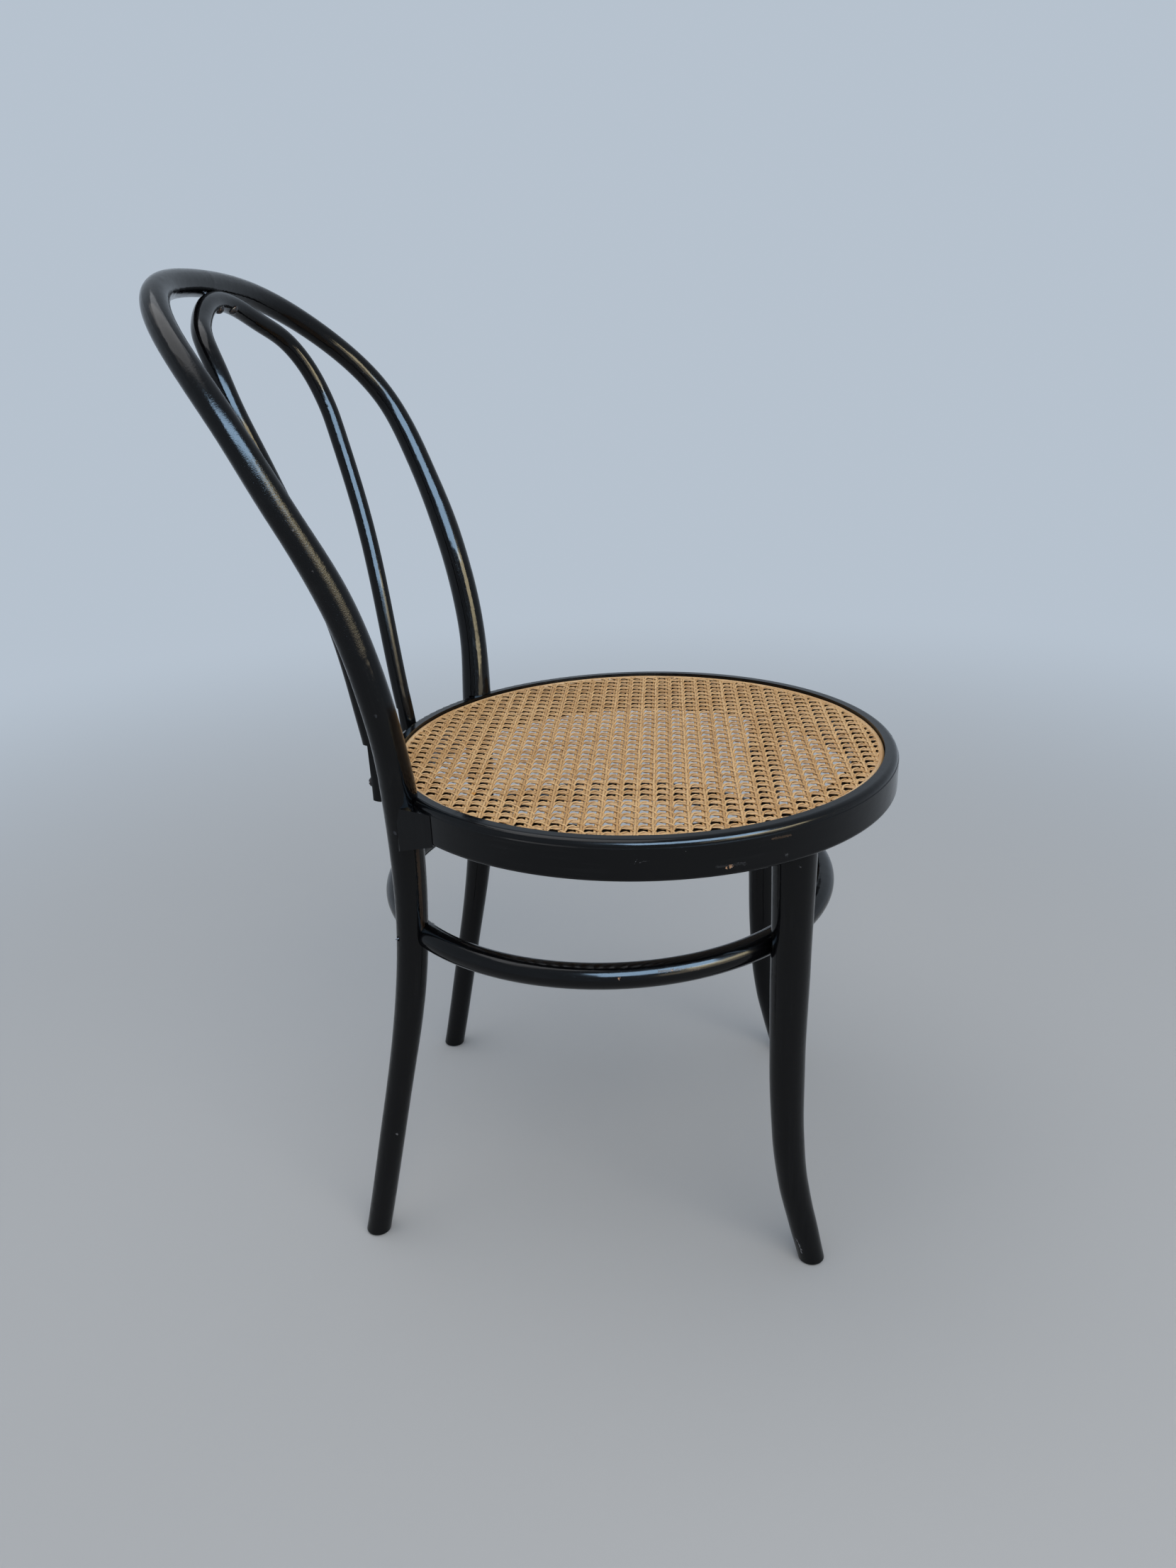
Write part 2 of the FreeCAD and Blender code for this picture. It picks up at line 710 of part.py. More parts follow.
def top_screw_places():
    """Start and direction of the two screws that go up through the inner bow."""
    outer, _ = curve_through([point for point, wide in in_row_frame(outer_stations())])
    inner, _ = curve_through([point for point, wide in in_row_frame(inner_stations())])
    places = []
    for side in (-1, 1):
        x = side * size("top_screw_spacing") / 2
        low = point_at_x(inner, x)
        high = point_at_x(outer, x)
        direction = high - low
        direction.normalize()
        under_head = size("inner_bow_diameter") / 2 - size("head_bed")
        places.append((low - direction * under_head, direction))
    return places


def point_at_x(curve, x):
    """The place on a bow's top where it crosses a plane of constant x."""
    first, last = curve.FirstParameter, curve.LastParameter
    top_share = 0.1
    low = first + (last - first) * (HALF_WAY - top_share)
    high = first + (last - first) * (HALF_WAY + top_share)
    for _ in range(HALVINGS):
        middle = (low + high) / 2
        if curve.value(middle).x > x:
            low = middle
        else:
            high = middle
    return curve.value((low + high) / 2)


inner_screws = Part.makeCompound([
    around(radial(point) * -1, inner_screw_seat(point), wood_screw(size("inner_screw_length")))
    for point in inner_ends])
top_screws = Part.makeCompound([
    around(direction, point, wood_screw(size("top_screw_length"))) for point, direction in top_screw_places()])
inner_holes = [screw_hole(inner_screw_seat(point), radial(point) * -1, size("inner_screw_length"))
               for point in inner_ends]
top_holes = []
for point, direction in top_screw_places():
    top_holes.append(screw_hole(point, direction, size("top_screw_length")))
    top_holes.append(head_hole(point, direction))

inner_half = bent_rod(in_row_frame(inner_stations()), ROD_STEPS, HALF_WAY)
inner_half = inner_half.cut([ring_space(size("wood_clearance")), inner_flat_cutter(inner_ends[0])]
                            + inner_holes + top_holes)
placed("inner_bow", both_halves(largest(inner_half)))
placed("inner_bow_screws", inner_screws)
placed("bow_top_screws", top_screws)

# Front legs and their tenons

square_leg = front_leg()
tenon_tops = sided(Vector(size("front_leg_x"), seat_y - size("front_leg_y"), ring_bottom))
tenon_tops[0] = left_turn.multVec(tenon_tops[0])

# Leg ring: a bent ring that braces the four legs from inside

stretcher_section = size("stretcher_diameter") / 2
stretcher_raw = Part.makeTorus(stretcher_radius(), stretcher_section, stretcher_middle)


def leg_middle_at(curve, height, near_x):
    """Where a leg's middle line passes a height, on one side of the chair."""
    first, last = curve.FirstParameter, curve.LastParameter
    leg_share = 0.3
    low, high = first, first + (last - first) * leg_share
    for _ in range(HALVINGS):
        middle = (low + high) / 2
        if curve.value(middle).z < height:
            low = middle
        else:
            high = middle
    found = curve.value((low + high) / 2)
    return Vector(math.copysign(found.x, near_x), found.y, found.z)


outer_curve, _ = curve_through([point for point, wide in in_row_frame(outer_stations())])
rear_crossings = [leg_middle_at(outer_curve, size("stretcher_height"), side) for side in (1, -1)]
front_crossings = sided(Vector(size("front_leg_x") + front_lean(size("stretcher_height")),
                               seat_y - size("front_leg_y"), size("stretcher_height")))
front_crossings[0] = left_turn.multVec(front_crossings[0])


def stretcher_screw_place(point):
    """Start and direction of the screw that goes from inside the ring into a leg."""
    out = radial(point, stretcher_middle)
    start = stretcher_middle + out * (stretcher_radius() - stretcher_section + size("head_bed"))
    return start, out


stretcher_screws = []
stretcher_holes = []
for point in front_crossings + rear_crossings:
    start, out = stretcher_screw_place(point)
    stretcher_screws.append(around(out, start, wood_screw(size("stretcher_screw_length"))))
    stretcher_holes.append(screw_hole(start, out, size("stretcher_screw_length")))
    stretcher_holes.append(head_hole(start, out))


def leg_space(point, diameter):
    """The straight stretch of a leg beside the leg ring."""
    reach = 2 * size("stretcher_diameter")
    return hole(point - Vector(0, 0, reach), Vector(0, 0, 1), diameter + 2 * size("wood_clearance"), 2 * reach)


# Locking screws of the tenons come from inside the seat ring


def tenon_screw_place(point):
    """Start and direction of the screw through the ring's inner wall into the tenon."""
    out = radial(point)
    inner = seat_radius - size("ring_width")
    height = ring_bottom + size("tenon_length") / 2
    return Vector(seat_middle.x, seat_middle.y, height) + out * (inner + size("head_bed")), out


tenon_screws = []
tenon_holes = []
for point in tenon_tops:
    start, out = tenon_screw_place(point)
    tenon_screws.append(around(out, start, wood_screw(size("tenon_screw_length"))))
    tenon_holes.append(screw_hole(start, out, size("tenon_screw_length")))
    tenon_holes.append(head_hole(start, out))

# Seat ring with its bores and spot faces

mortises = [hole(point, Vector(0, 0, 1), size("tenon_diameter") + 2 * size("wood_clearance"),
                 size("tenon_length") + 2 * size("wood_clearance")) for point in tenon_tops]
ring_shape = ring_body.Shape.copy().cut(mortises + coach_holes() + tenon_holes + inner_holes)
placed("seat_ring", ring_shape)

# Leg ring with its housings

leg_spaces = [leg_space(point, front_diameter_at(size("stretcher_height"))) for point in front_crossings]
stretcher_shape = stretcher_raw.cut(leg_spaces + [outer_room, mirrored(outer_room)] + stretcher_holes)
placed("stretcher_ring", largest(stretcher_shape))
placed("stretcher_screws", Part.makeCompound(stretcher_screws))

# Legs

left_leg = square_leg.copy()
left_leg.Placement = left_turn
placed("front_leg_left", largest(left_leg.cut(stretcher_holes + tenon_holes)))
placed("front_leg_right", largest(mirrored(square_leg).cut(stretcher_holes + tenon_holes)))
placed("tenon_lock_screws", Part.makeCompound(tenon_screws))

outer_half = rounded_foot(outer_half.cut(floor_block()))
outer_half = outer_half.cut([ring_space(size("wood_clearance"))] + coach_holes()[0::2]
                            + stretcher_holes + top_holes[0::2])
placed("back_bow_and_rear_legs", both_halves(largest(outer_half)))
placed("rear_leg_coach_screws", coach_screws())
placed("rear_leg_washers", washers())
for side in ("left", "right"):
    placed("packing_block_" + side, packing_block(side))

# Cane and the reed spline that holds it

cane = doc.addObject("Part::Cylinder", "seat_cane")
cane.Label = "seat_cane"
cane.setExpression("Radius", cell("seat_diameter / 2 - lip_width - groove_width - wood_clearance"))
cane.setExpression("Height", cell("cane_thickness"))
cane.Placement = FreeCAD.Placement(
    seat_middle + Vector(0, 0, size("seat_height") - size("ledge_drop")), FreeCAD.Rotation())

spline = doc.addObject("Part::Torus", "cane_spline")
spline.Label = "cane_spline"
spline.setExpression("Radius1", cell("seat_diameter / 2 - lip_width - groove_width / 2"))
spline.setExpression("Radius2", cell("spline_diameter / 2"))
spline_radius = seat_radius - size("lip_width") - size("groove_width") / 2
gap_angle = math.degrees(size("spline_gap") / spline_radius)
spline.Angle3 = 360 - gap_angle
spline.Placement = FreeCAD.Placement(
    seat_middle + Vector(0, 0, size("seat_height") - size("groove_depth") + size("spline_diameter") / 2),
    FreeCAD.Rotation(Vector(0, 0, 1), size("spline_joint_angle")))

doc.recompute()

# Check every object, then write each piece

PIECES = [
    "back_bow_and_rear_legs", "inner_bow", "seat_ring", "seat_cane", "cane_spline",
    "front_leg_right", "front_leg_left", "stretcher_ring", "packing_block_right",
    "packing_block_left", "rear_leg_coach_screws", "rear_leg_washers", "inner_bow_screws",
    "bow_top_screws", "stretcher_screws", "tenon_lock_screws",
]

for item in doc.Objects:
    bad = [state for state in item.State if state in ("Invalid", "Error")]
    if bad:
        raise RuntimeError("%s is %s" % (item.Name, bad))

os.makedirs("parts", exist_ok=True)
box = FreeCAD.BoundBox()
for name in PIECES:
    item = doc.getObjectsByLabel(name)[0]
    shape = item.Shape
    if shape.isNull() or not shape.isValid():
        raise RuntimeError("%s has no valid shape" % name)
    shape.exportStep("parts/%s.step" % name)
    box.add(shape.BoundBox)
    print("%-26s solids %2d  volume %10.1f mm3" % (name, len(shape.Solids), shape.Volume))
print("box %.1f..%.1f  %.1f..%.1f  %.1f..%.1f" % (box.XMin, box.XMax, box.YMin, box.YMax, box.ZMin, box.ZMax))
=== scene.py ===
"""Looks of the bentwood bistro chair: lacquered bows, woven cane, reed, screws, light and camera.

Every piece is in metres in the chair's own frame: +Z up, the front towards -Y, the floor at Z = 0.
"""

import logging
import math
from dataclasses import dataclass
from enum import Enum
from typing import Any

import bpy
import numpy as np
from mathutils import Matrix, Vector
from mathutils.bvhtree import BVHTree


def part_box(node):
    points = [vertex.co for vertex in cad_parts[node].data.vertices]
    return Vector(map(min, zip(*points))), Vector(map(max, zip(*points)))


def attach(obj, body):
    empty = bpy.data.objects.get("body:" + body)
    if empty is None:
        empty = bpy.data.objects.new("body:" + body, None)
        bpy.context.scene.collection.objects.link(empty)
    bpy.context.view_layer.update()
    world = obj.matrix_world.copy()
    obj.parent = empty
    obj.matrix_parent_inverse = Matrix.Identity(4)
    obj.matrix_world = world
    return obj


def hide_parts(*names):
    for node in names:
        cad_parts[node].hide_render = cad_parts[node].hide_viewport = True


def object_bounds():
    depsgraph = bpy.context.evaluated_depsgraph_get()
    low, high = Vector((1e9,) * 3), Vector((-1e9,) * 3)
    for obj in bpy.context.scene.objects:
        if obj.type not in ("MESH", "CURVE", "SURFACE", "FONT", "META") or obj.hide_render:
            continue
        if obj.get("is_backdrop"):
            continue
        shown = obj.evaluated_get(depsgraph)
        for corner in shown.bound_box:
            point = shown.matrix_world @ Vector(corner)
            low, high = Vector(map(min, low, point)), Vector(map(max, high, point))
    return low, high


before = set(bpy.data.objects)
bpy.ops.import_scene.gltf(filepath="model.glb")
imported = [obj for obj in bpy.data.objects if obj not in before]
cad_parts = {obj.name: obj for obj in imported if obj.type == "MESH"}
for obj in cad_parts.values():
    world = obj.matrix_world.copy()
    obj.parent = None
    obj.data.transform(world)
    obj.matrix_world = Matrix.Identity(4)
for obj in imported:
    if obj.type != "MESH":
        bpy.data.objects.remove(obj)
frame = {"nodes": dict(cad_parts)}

LOG = logging.getLogger("chair")
MM = 0.001
TURN = 2.0 * math.pi
BODY = "root"

Socket = bpy.types.NodeSocket
Triple = tuple[float, float, float]
Colour = Triple
Pair = tuple[float, float]


# Node graphs


class Paint:
    """One material and the helpers that grow its node tree."""

    def __init__(self, name: str) -> None:
        """Makes a material of that name that holds one Principled shader."""
        self.material = bpy.data.materials.new(name)
        self.material.use_nodes = True
        self.tree = self.material.node_tree
        self.tree.nodes.clear()
        output = self.tree.nodes.new("ShaderNodeOutputMaterial")
        self.shader = self.tree.nodes.new("ShaderNodeBsdfPrincipled")
        self.tree.links.new(self.shader.outputs[0], output.inputs[0])

    def add(self, kind: str, inputs: dict[Any, Any], **settings: Any) -> bpy.types.Node:
        """Adds a node and fills its inputs.

        Args:
            kind: the node's type.
            inputs: sockets or plain values by input index or name.
            settings: properties of the node.

        Returns:
            The new node.
        """
        node = self.tree.nodes.new(kind)
        for name, value in settings.items():
            setattr(node, name, value)
        for key, value in inputs.items():
            if isinstance(value, Socket):
                self.tree.links.new(value, node.inputs[key])
            else:
                node.inputs[key].default_value = value
        return node

    def place(self) -> Socket:
        """The point's own place in the chair's frame."""
        return self.add("ShaderNodeTexCoord", {}).outputs["Object"]

    def sum(self, kind: str, first: Any, second: Any = 0.0, clamp: bool = False) -> Socket:
        """One sum on numbers.

        Args:
            kind: the operation's name.
            first: its first number.
            second: its second number, where it takes one.
            clamp: keeps the answer between 0 and 1.

        Returns:
            The answer.
        """
        inputs = {0: first, 1: second}
        return self.add("ShaderNodeMath", inputs, operation=kind, use_clamp=clamp).outputs[0]

    def vector(self, kind: str, first: Any, second: Any = (0.0, 0.0, 0.0)) -> Socket:
        """One sum on vectors; its number for a distance, length or dot product, else its vector."""
        node = self.add("ShaderNodeVectorMath", {0: first, 1: second}, operation=kind)
        return node.outputs["Value" if kind in ("DISTANCE", "LENGTH", "DOT_PRODUCT") else "Vector"]

    def scaled(self, vector: Any, factor: Any) -> Socket:
        """A vector times a number."""
        inputs = {0: vector, "Scale": factor}
        return self.add("ShaderNodeVectorMath", inputs, operation="SCALE").outputs[0]

    def parts(self, vector: Socket) -> list[Socket]:
        """The three numbers of a vector."""
        return list(self.add("ShaderNodeSeparateXYZ", {0: vector}).outputs)

    def joined(self, x: Any, y: Any, z: Any) -> Socket:
        """A vector from three numbers."""
        return self.add("ShaderNodeCombineXYZ", {0: x, 1: y, 2: z}).outputs[0]

    def noise(self, vector: Socket, scale: float, detail: float = 2.0, deep: Any = None) -> Socket:
        """Smooth noise between about 0 and 1.

        Args:
            vector: where it is read.
            scale: how many lumps fit in one unit.
            detail: how many finer layers it has.
            deep: a fourth coordinate, if there is one.

        Returns:
            The noise.
        """
        inputs = {"Vector": vector, "Scale": scale, "Detail": detail}
        if deep is None:
            return self.add("ShaderNodeTexNoise", inputs).outputs[0]
        inputs["W"] = deep
        return self.add("ShaderNodeTexNoise", inputs, noise_dimensions="4D").outputs[0]

    def ease(self, value: Any, low: float, high: float) -> Socket:
        """Rises smoothly from 0 to 1 while the value goes from low to high."""
        inputs = {"Value": value, "From Min": low, "From Max": high}
        return self.add("ShaderNodeMapRange", inputs, interpolation_type="SMOOTHSTEP").outputs[0]

    def mix(self, share: Any, first: Any, second: Any) -> Socket:
        """A colour between two colours."""
        ends = [(*end, 1.0) if isinstance(end, tuple) else end for end in (first, second)]
        # This node's colours are its inputs 6 and 7, and their mix is its output 2
        return self.add("ShaderNodeMix", {0: share, 6: ends[0], 7: ends[1]}, data_type="RGBA").outputs[2]

    def between(self, share: Any, first: Any, second: Any) -> Socket:
        """A number between two numbers, which are this node's inputs 2 and 3."""
        return self.add("ShaderNodeMix", {0: share, 2: first, 3: second}, data_type="FLOAT").outputs[0]

    def attribute(self, name: str) -> Socket:
        """A number that the mesh holds at each of its points."""
        return self.add("ShaderNodeAttribute", {}, attribute_name=name).outputs["Fac"]

    def bump(self, height: Socket, depth: float, under: Socket | None = None) -> Socket:
        """A relief that is depth metres tall where the height is 1."""
        inputs = {"Height": height, "Distance": depth, "Strength": 1.0}
        if under is not None:
            inputs["Normal"] = under
        return self.add("ShaderNodeBump", inputs).outputs[0]

    def feed(self, **sockets: Any) -> None:
        """Sets the shader's inputs; an underscore in a name stands for a space."""
        for name, value in sockets.items():
            target = self.shader.inputs[name.replace("_", " ")]
            if isinstance(value, Socket):
                self.tree.links.new(value, target)
            else:
                target.default_value = (*value, 1.0) if isinstance(value, tuple) else value


def dress(piece: bpy.types.Object, paint: Paint) -> None:
    """Puts a finish in the piece's first material slot."""
    if not piece.material_slots:
        piece.data.materials.append(paint.material)
    piece.material_slots[0].material = paint.material


# The photograph's eye


@dataclass(frozen=True)
class PhotoEye:
    """Where the photograph was taken from, and how its pixels map to rays.

    The place is in metres, the angles are degrees, the focal length and the picture's size are
    pixels, and the sensor is as wide as a film camera's, in millimetres."""

    place: Triple = (-0.9375, -0.1483, 0.7494)
    heading: float = 7.901
    tilt: float = -21.242
    roll: float = -2.205
    focal: float = 1598.6
    width: float = 1659.0
    height: float = 2212.0
    sensor: float = 36.0
    nearest: float = 0.01

    def axes(self) -> tuple[Vector, Vector, Vector]:
        """The picture's right, its up and the way the eye looks, as unit vectors."""
        heading = math.radians(self.heading)
        tilt = math.radians(self.tilt)
        roll = math.radians(self.roll)
        level = Vector((math.cos(heading), math.sin(heading), 0.0))
        ahead = level * math.cos(tilt) + Vector((0.0, 0.0, math.sin(tilt)))
        right = ahead.cross(Vector((0.0, 0.0, 1.0))).normalized()
        up = right.cross(ahead)
        turned_right = right * math.cos(roll) + up * math.sin(roll)
        turned_up = up * math.cos(roll) - right * math.sin(roll)
        return turned_right, turned_up, ahead

    def ray(self, u: float, v: float) -> Vector:
        """A unit vector from the eye through the pixel u from the left and v from the top."""
        right, up, ahead = self.axes()
        across = (u - self.width / 2.0) / self.focal
        down = (v - self.height / 2.0) / self.focal
        return (ahead + right * across - up * down).normalized()

    def make_camera(self) -> None:
        """Adds the camera and makes it the scene's own."""
        data = bpy.data.cameras.new("photo_camera")
        data.sensor_fit = "HORIZONTAL"
        data.sensor_width = self.sensor
        data.lens = self.focal * self.sensor / self.width
        data.clip_start = self.nearest
        camera = bpy.data.objects.new("photo_camera", data)
        right, up, ahead = self.axes()
        turn = Matrix((right, up, -ahead)).transposed().to_4x4()
        camera.matrix_world = Matrix.Translation(self.place) @ turn
        bpy.context.collection.objects.link(camera)
        bpy.context.scene.camera = camera


EYE = PhotoEye()


class Tone(Enum):
    """What a mark on the lacquer shows."""

    CHIP = "bare wood"
    RUB = "brown rub-through"
    SCRATCH = "pale scratch"
    SCUFF = "dull grey scuff"
    CRACK = "hairline crack"
    RIPPLE = "fine ripples across the coat"


@dataclass(frozen=True)
class Mark:
    """A worn place on the lacquer: its two ends in pixels of the photograph, its width in mm."""

    tone: Tone
    start: Pair
    end: Pair
    width: float
    strength: float = 1.0

    def ends(self, tree: BVHTree) -> list[Vector]:
        """The two ends on the faces of the piece in the tree, or none where it isn't seen there."""
        eye = Vector(EYE.place)
        found = [tree.ray_cast(eye, EYE.ray(*pixel))[0] for pixel in (self.start, self.end)]
        return found if None not in found else []


def spot(tone: Tone, place: Pair, width: float, strength: float = 1.0) -> Mark:
    """A round mark: both its ends lie in one place."""
    return Mark(tone, place, place, width, strength)


# Finishes


class Run(Enum):
    """How the brush ran along a piece."""

    UPRIGHT = "along a leg"
    HOOP = "round a ring"
    BOW = "up one side of a bow and down the other"


@dataclass(frozen=True)
class Lacquer:
    """Old black brushing lacquer on bent wood: glossy, a little lumpy, rubbed through in places.

    Scales are lumps per metre, depths are metres, and a fade is the two values of a noise between
    which its pattern comes in."""

    black: Colour = (0.0022, 0.0023, 0.0028)
    soft_black: Colour = (0.0060, 0.0060, 0.0066)
    brown: Colour = (0.060, 0.034, 0.017)
    bare: Colour = (0.46, 0.25, 0.13)
    pale: Colour = (0.22, 0.22, 0.23)
    grey: Colour = (0.035, 0.036, 0.040)
    # Roughness of the best coat, what streaks add to it, and that of dull, worn and rippled places
    gloss: float = 0.095
    streaky: float = 0.09
    dull: float = 0.30
    worn: float = 0.5
    rippled: float = 0.17
    shine: float = 0.21
    fine: float = 420.0
    coarse: float = 5.0
    lengthwise: float = 0.03
    broad_share: float = 0.25
    grain_fade: Pair = (0.45, 0.75)
    broad_fade: Pair = (0.42, 0.70)
    rub_fade: Pair = (0.40, 0.62)
    lump_scale: float = 55.0
    cloud_scale: float = 17.0
    cloud_fade: Pair = (0.40, 0.65)
    dust_scale: float = 1500.0
    dust_fade: Pair = (0.70, 0.78)
    dusty_fade: Pair = (0.42, 0.66)
    dust_share: float = 0.35
    dull_share: float = 0.5
    # How far a mark's edge is shaken, and the shares of its width at which it is gone and whole
    shake_scale: float = 700.0
    shake: float = 0.004
    mark_edge: Pair = (0.5, 0.32)
    ripple_scale: Triple = (700.0, 700.0, 1600.0)
    lump_depth: float = 0.00020
    broad_depth: float = 0.00009
    grain_depth: float = 0.000022
    dust_depth: float = 0.00003
    chip_depth: float = 0.00015
    ripple_depth: float = 0.00016
    # The bow's middle line: heights where the back and the legs start to lean, and how strongly
    back_from: float = 0.45
    legs_below: float = 0.41
    back_lean: float = 1.3
    leg_rake: float = 0.37

    def run_noise(self, paint: Paint, run: Run, middle: Vector, scale: float) -> Socket:
        """Noise that is drawn out along the piece, as brush marks are.

        Args:
            paint: the material.
            run: how the brush went.
            middle: the ring's middle, or the middle of the bow's arch.
            scale: how fine it is; 1 is the finish's own grain.

        Returns:
            The noise.
        """
        x, y, z = paint.parts(paint.place())
        fine = self.fine * scale
        if run is Run.UPRIGHT:
            place = paint.vector("MULTIPLY", paint.place(), (fine, fine, fine * self.lengthwise))
            return paint.noise(place, 1.0, 3.0)
        if run is Run.HOOP:
            first = paint.sum("SUBTRACT", x, middle.x)
            second = paint.sum("SUBTRACT", y, middle.y)
            deep = paint.sum("MULTIPLY", z, fine)
            along = 0.0
        else:
            first = x
            above = paint.sum("SUBTRACT", z, middle.z)
            second = paint.sum("MAXIMUM", above, 0.0)
            below = paint.sum("MINIMUM", above, 0.0)
            along = paint.sum("MULTIPLY", below, fine * self.lengthwise)
            deep = paint.sum("MULTIPLY", self.behind_bow(paint, y, z), fine)
        flat = paint.joined(first, second, 0.0)
        radius = paint.vector("LENGTH", flat)
        around = paint.parts(paint.scaled(paint.vector("NORMALIZE", flat), self.coarse * scale))
        lifted = paint.sum("ADD", around[1], along)
        place = paint.joined(around[0], lifted, paint.sum("MULTIPLY", radius, fine))
        return paint.noise(place, 1.0, 3.0, deep)

    def behind_bow(self, paint: Paint, y: Socket, z: Socket) -> Socket:
        """How far behind the bow's own middle line a point lies: the line leans back as a square."""
        rise = paint.sum("MAXIMUM", paint.sum("SUBTRACT", z, self.back_from), 0.0)
        fall = paint.sum("MAXIMUM", paint.sum("SUBTRACT", self.legs_below, z), 0.0)
        lean = paint.sum("MULTIPLY", paint.sum("MULTIPLY", rise, rise), self.back_lean)
        rake = paint.sum("MULTIPLY", paint.sum("MULTIPLY", fall, fall), self.leg_rake)
        return paint.sum("SUBTRACT", y, paint.sum("ADD", lean, rake))

    def mark_mask(self, paint: Paint, ends: list[Vector], width: float, warped: Socket) -> Socket:
        """1 on the line between two points, falling to 0 at half the width from it.

        The distance is that from the point to the nearest place on the line between the ends,
        and two ends that lie together make a round mark.

        Args:
            paint: the material.
            ends: the two ends of the mark.
            width: its width in metres.
            warped: the point's place, shaken to make the edge ragged.

        Returns:
            The mask.
        """
        start, end = ends
        line = end - start
        away = paint.vector("SUBTRACT", warped, tuple(start))
        if line.length > MM:
            reach = paint.vector("DOT_PRODUCT", away, tuple(line / line.length_squared))
            reach = paint.sum("ADD", reach, 0.0, clamp=True)
            away = paint.vector("SUBTRACT", away, paint.scaled(tuple(line), reach))
        gone, whole = self.mark_edge
        return paint.ease(paint.vector("LENGTH", away), width * gone, width * whole)

    def make(self, name: str, run: Run, middle: Vector, piece: bpy.types.Object,
             marks: tuple[Mark, ...] = (), rough: float = 1.0) -> Paint:
        """The finish for one piece.

        Args:
            name: the material's name.
            run: how the brush went.
            middle: the middle of the ring or arch.
            piece: the CAD piece, on which the marks are found.
            marks: its worn places.
            rough: how lumpy the coat is; 1 is usual.

        Returns:
            The material.
        """
        paint = Paint(name)
        place = paint.place()
        grain = self.run_noise(paint, run, middle, 1.0)
        broad = self.run_noise(paint, run, middle, self.broad_share)
        lumps = paint.noise(place, self.lump_scale)
        cloud = paint.noise(place, self.cloud_scale, 3.0)
        dust = paint.ease(paint.noise(place, self.dust_scale, 1.0), *self.dust_fade)
        dusty = paint.sum("MULTIPLY", dust, paint.ease(cloud, *self.dusty_fade))

        # The coat
        share = paint.sum("MULTIPLY", paint.ease(grain, *self.grain_fade),
                          paint.ease(cloud, *self.cloud_fade))
        colour = paint.mix(share, self.black, self.soft_black)
        colour = paint.mix(paint.sum("MULTIPLY", dusty, self.dust_share), colour, self.grey)
        streaks = paint.ease(broad, *self.broad_fade)
        rough_now = paint.between(streaks, self.gloss, self.gloss + self.streaky)
        rough_now = paint.between(paint.sum("MULTIPLY", share, self.dull_share), rough_now, self.dull)

        # Its wear
        shake = {"Vector": place, "Scale": self.shake_scale, "Detail": 3.0}
        shaken = paint.add("ShaderNodeTexNoise", shake).outputs["Color"]
        shaken = paint.vector("SUBTRACT", shaken, (0.5, 0.5, 0.5))
        warped = paint.vector("ADD", place, paint.scaled(shaken, self.shake))
        shades = {Tone.CHIP: self.bare, Tone.RUB: self.brown, Tone.SCRATCH: self.pale,
                  Tone.SCUFF: self.grey, Tone.CRACK: self.black}
        tree = BVHTree.FromObject(piece, bpy.context.evaluated_depsgraph_get())
        sunk: Socket | float = 0.0
        rippled: Socket | float = 0.0
        for mark in marks:
            ends = mark.ends(tree)
            if not ends:
                LOG.info("  a mark at %s isn't on %s", mark.start, piece.name)
                continue
            mask = self.mark_mask(paint, ends, mark.width * MM, warped)
            mask = paint.sum("MULTIPLY", mask, mark.strength)
            if mark.tone is Tone.RIPPLE:
                rippled = paint.sum("MAXIMUM", mask, rippled)
                continue
            if mark.tone in (Tone.RUB, Tone.SCUFF):
                mask = paint.sum("MULTIPLY", mask, paint.ease(grain, *self.rub_fade))
            colour = paint.mix(mask, colour, shades[mark.tone])
            rough_now = paint.between(mask, rough_now, self.worn)
            if mark.tone in (Tone.CHIP, Tone.CRACK):
                sunk = paint.sum("MAXIMUM", mask, sunk)

        # Its relief
        relief = paint.bump(lumps, self.lump_depth * rough)
        relief = paint.bump(broad, self.broad_depth * rough, relief)
        relief = paint.bump(grain, self.grain_depth * rough, relief)
        relief = paint.bump(dust, self.dust_depth * rough, relief)
        if isinstance(sunk, Socket):
            relief = paint.bump(paint.sum("SUBTRACT", 1.0, sunk), self.chip_depth, relief)
        if isinstance(rippled, Socket):
            ripples = paint.noise(paint.vector("MULTIPLY", place, self.ripple_scale), 1.0)
            relief = paint.bump(paint.sum("MULTIPLY", ripples, rippled), self.ripple_depth, relief)
            rough_now = paint.between(rippled, rough_now, self.rippled)
        paint.feed(Base_Color=colour, Roughness=rough_now, Normal=relief, Specular_IOR_Level=self.shine)
        return paint


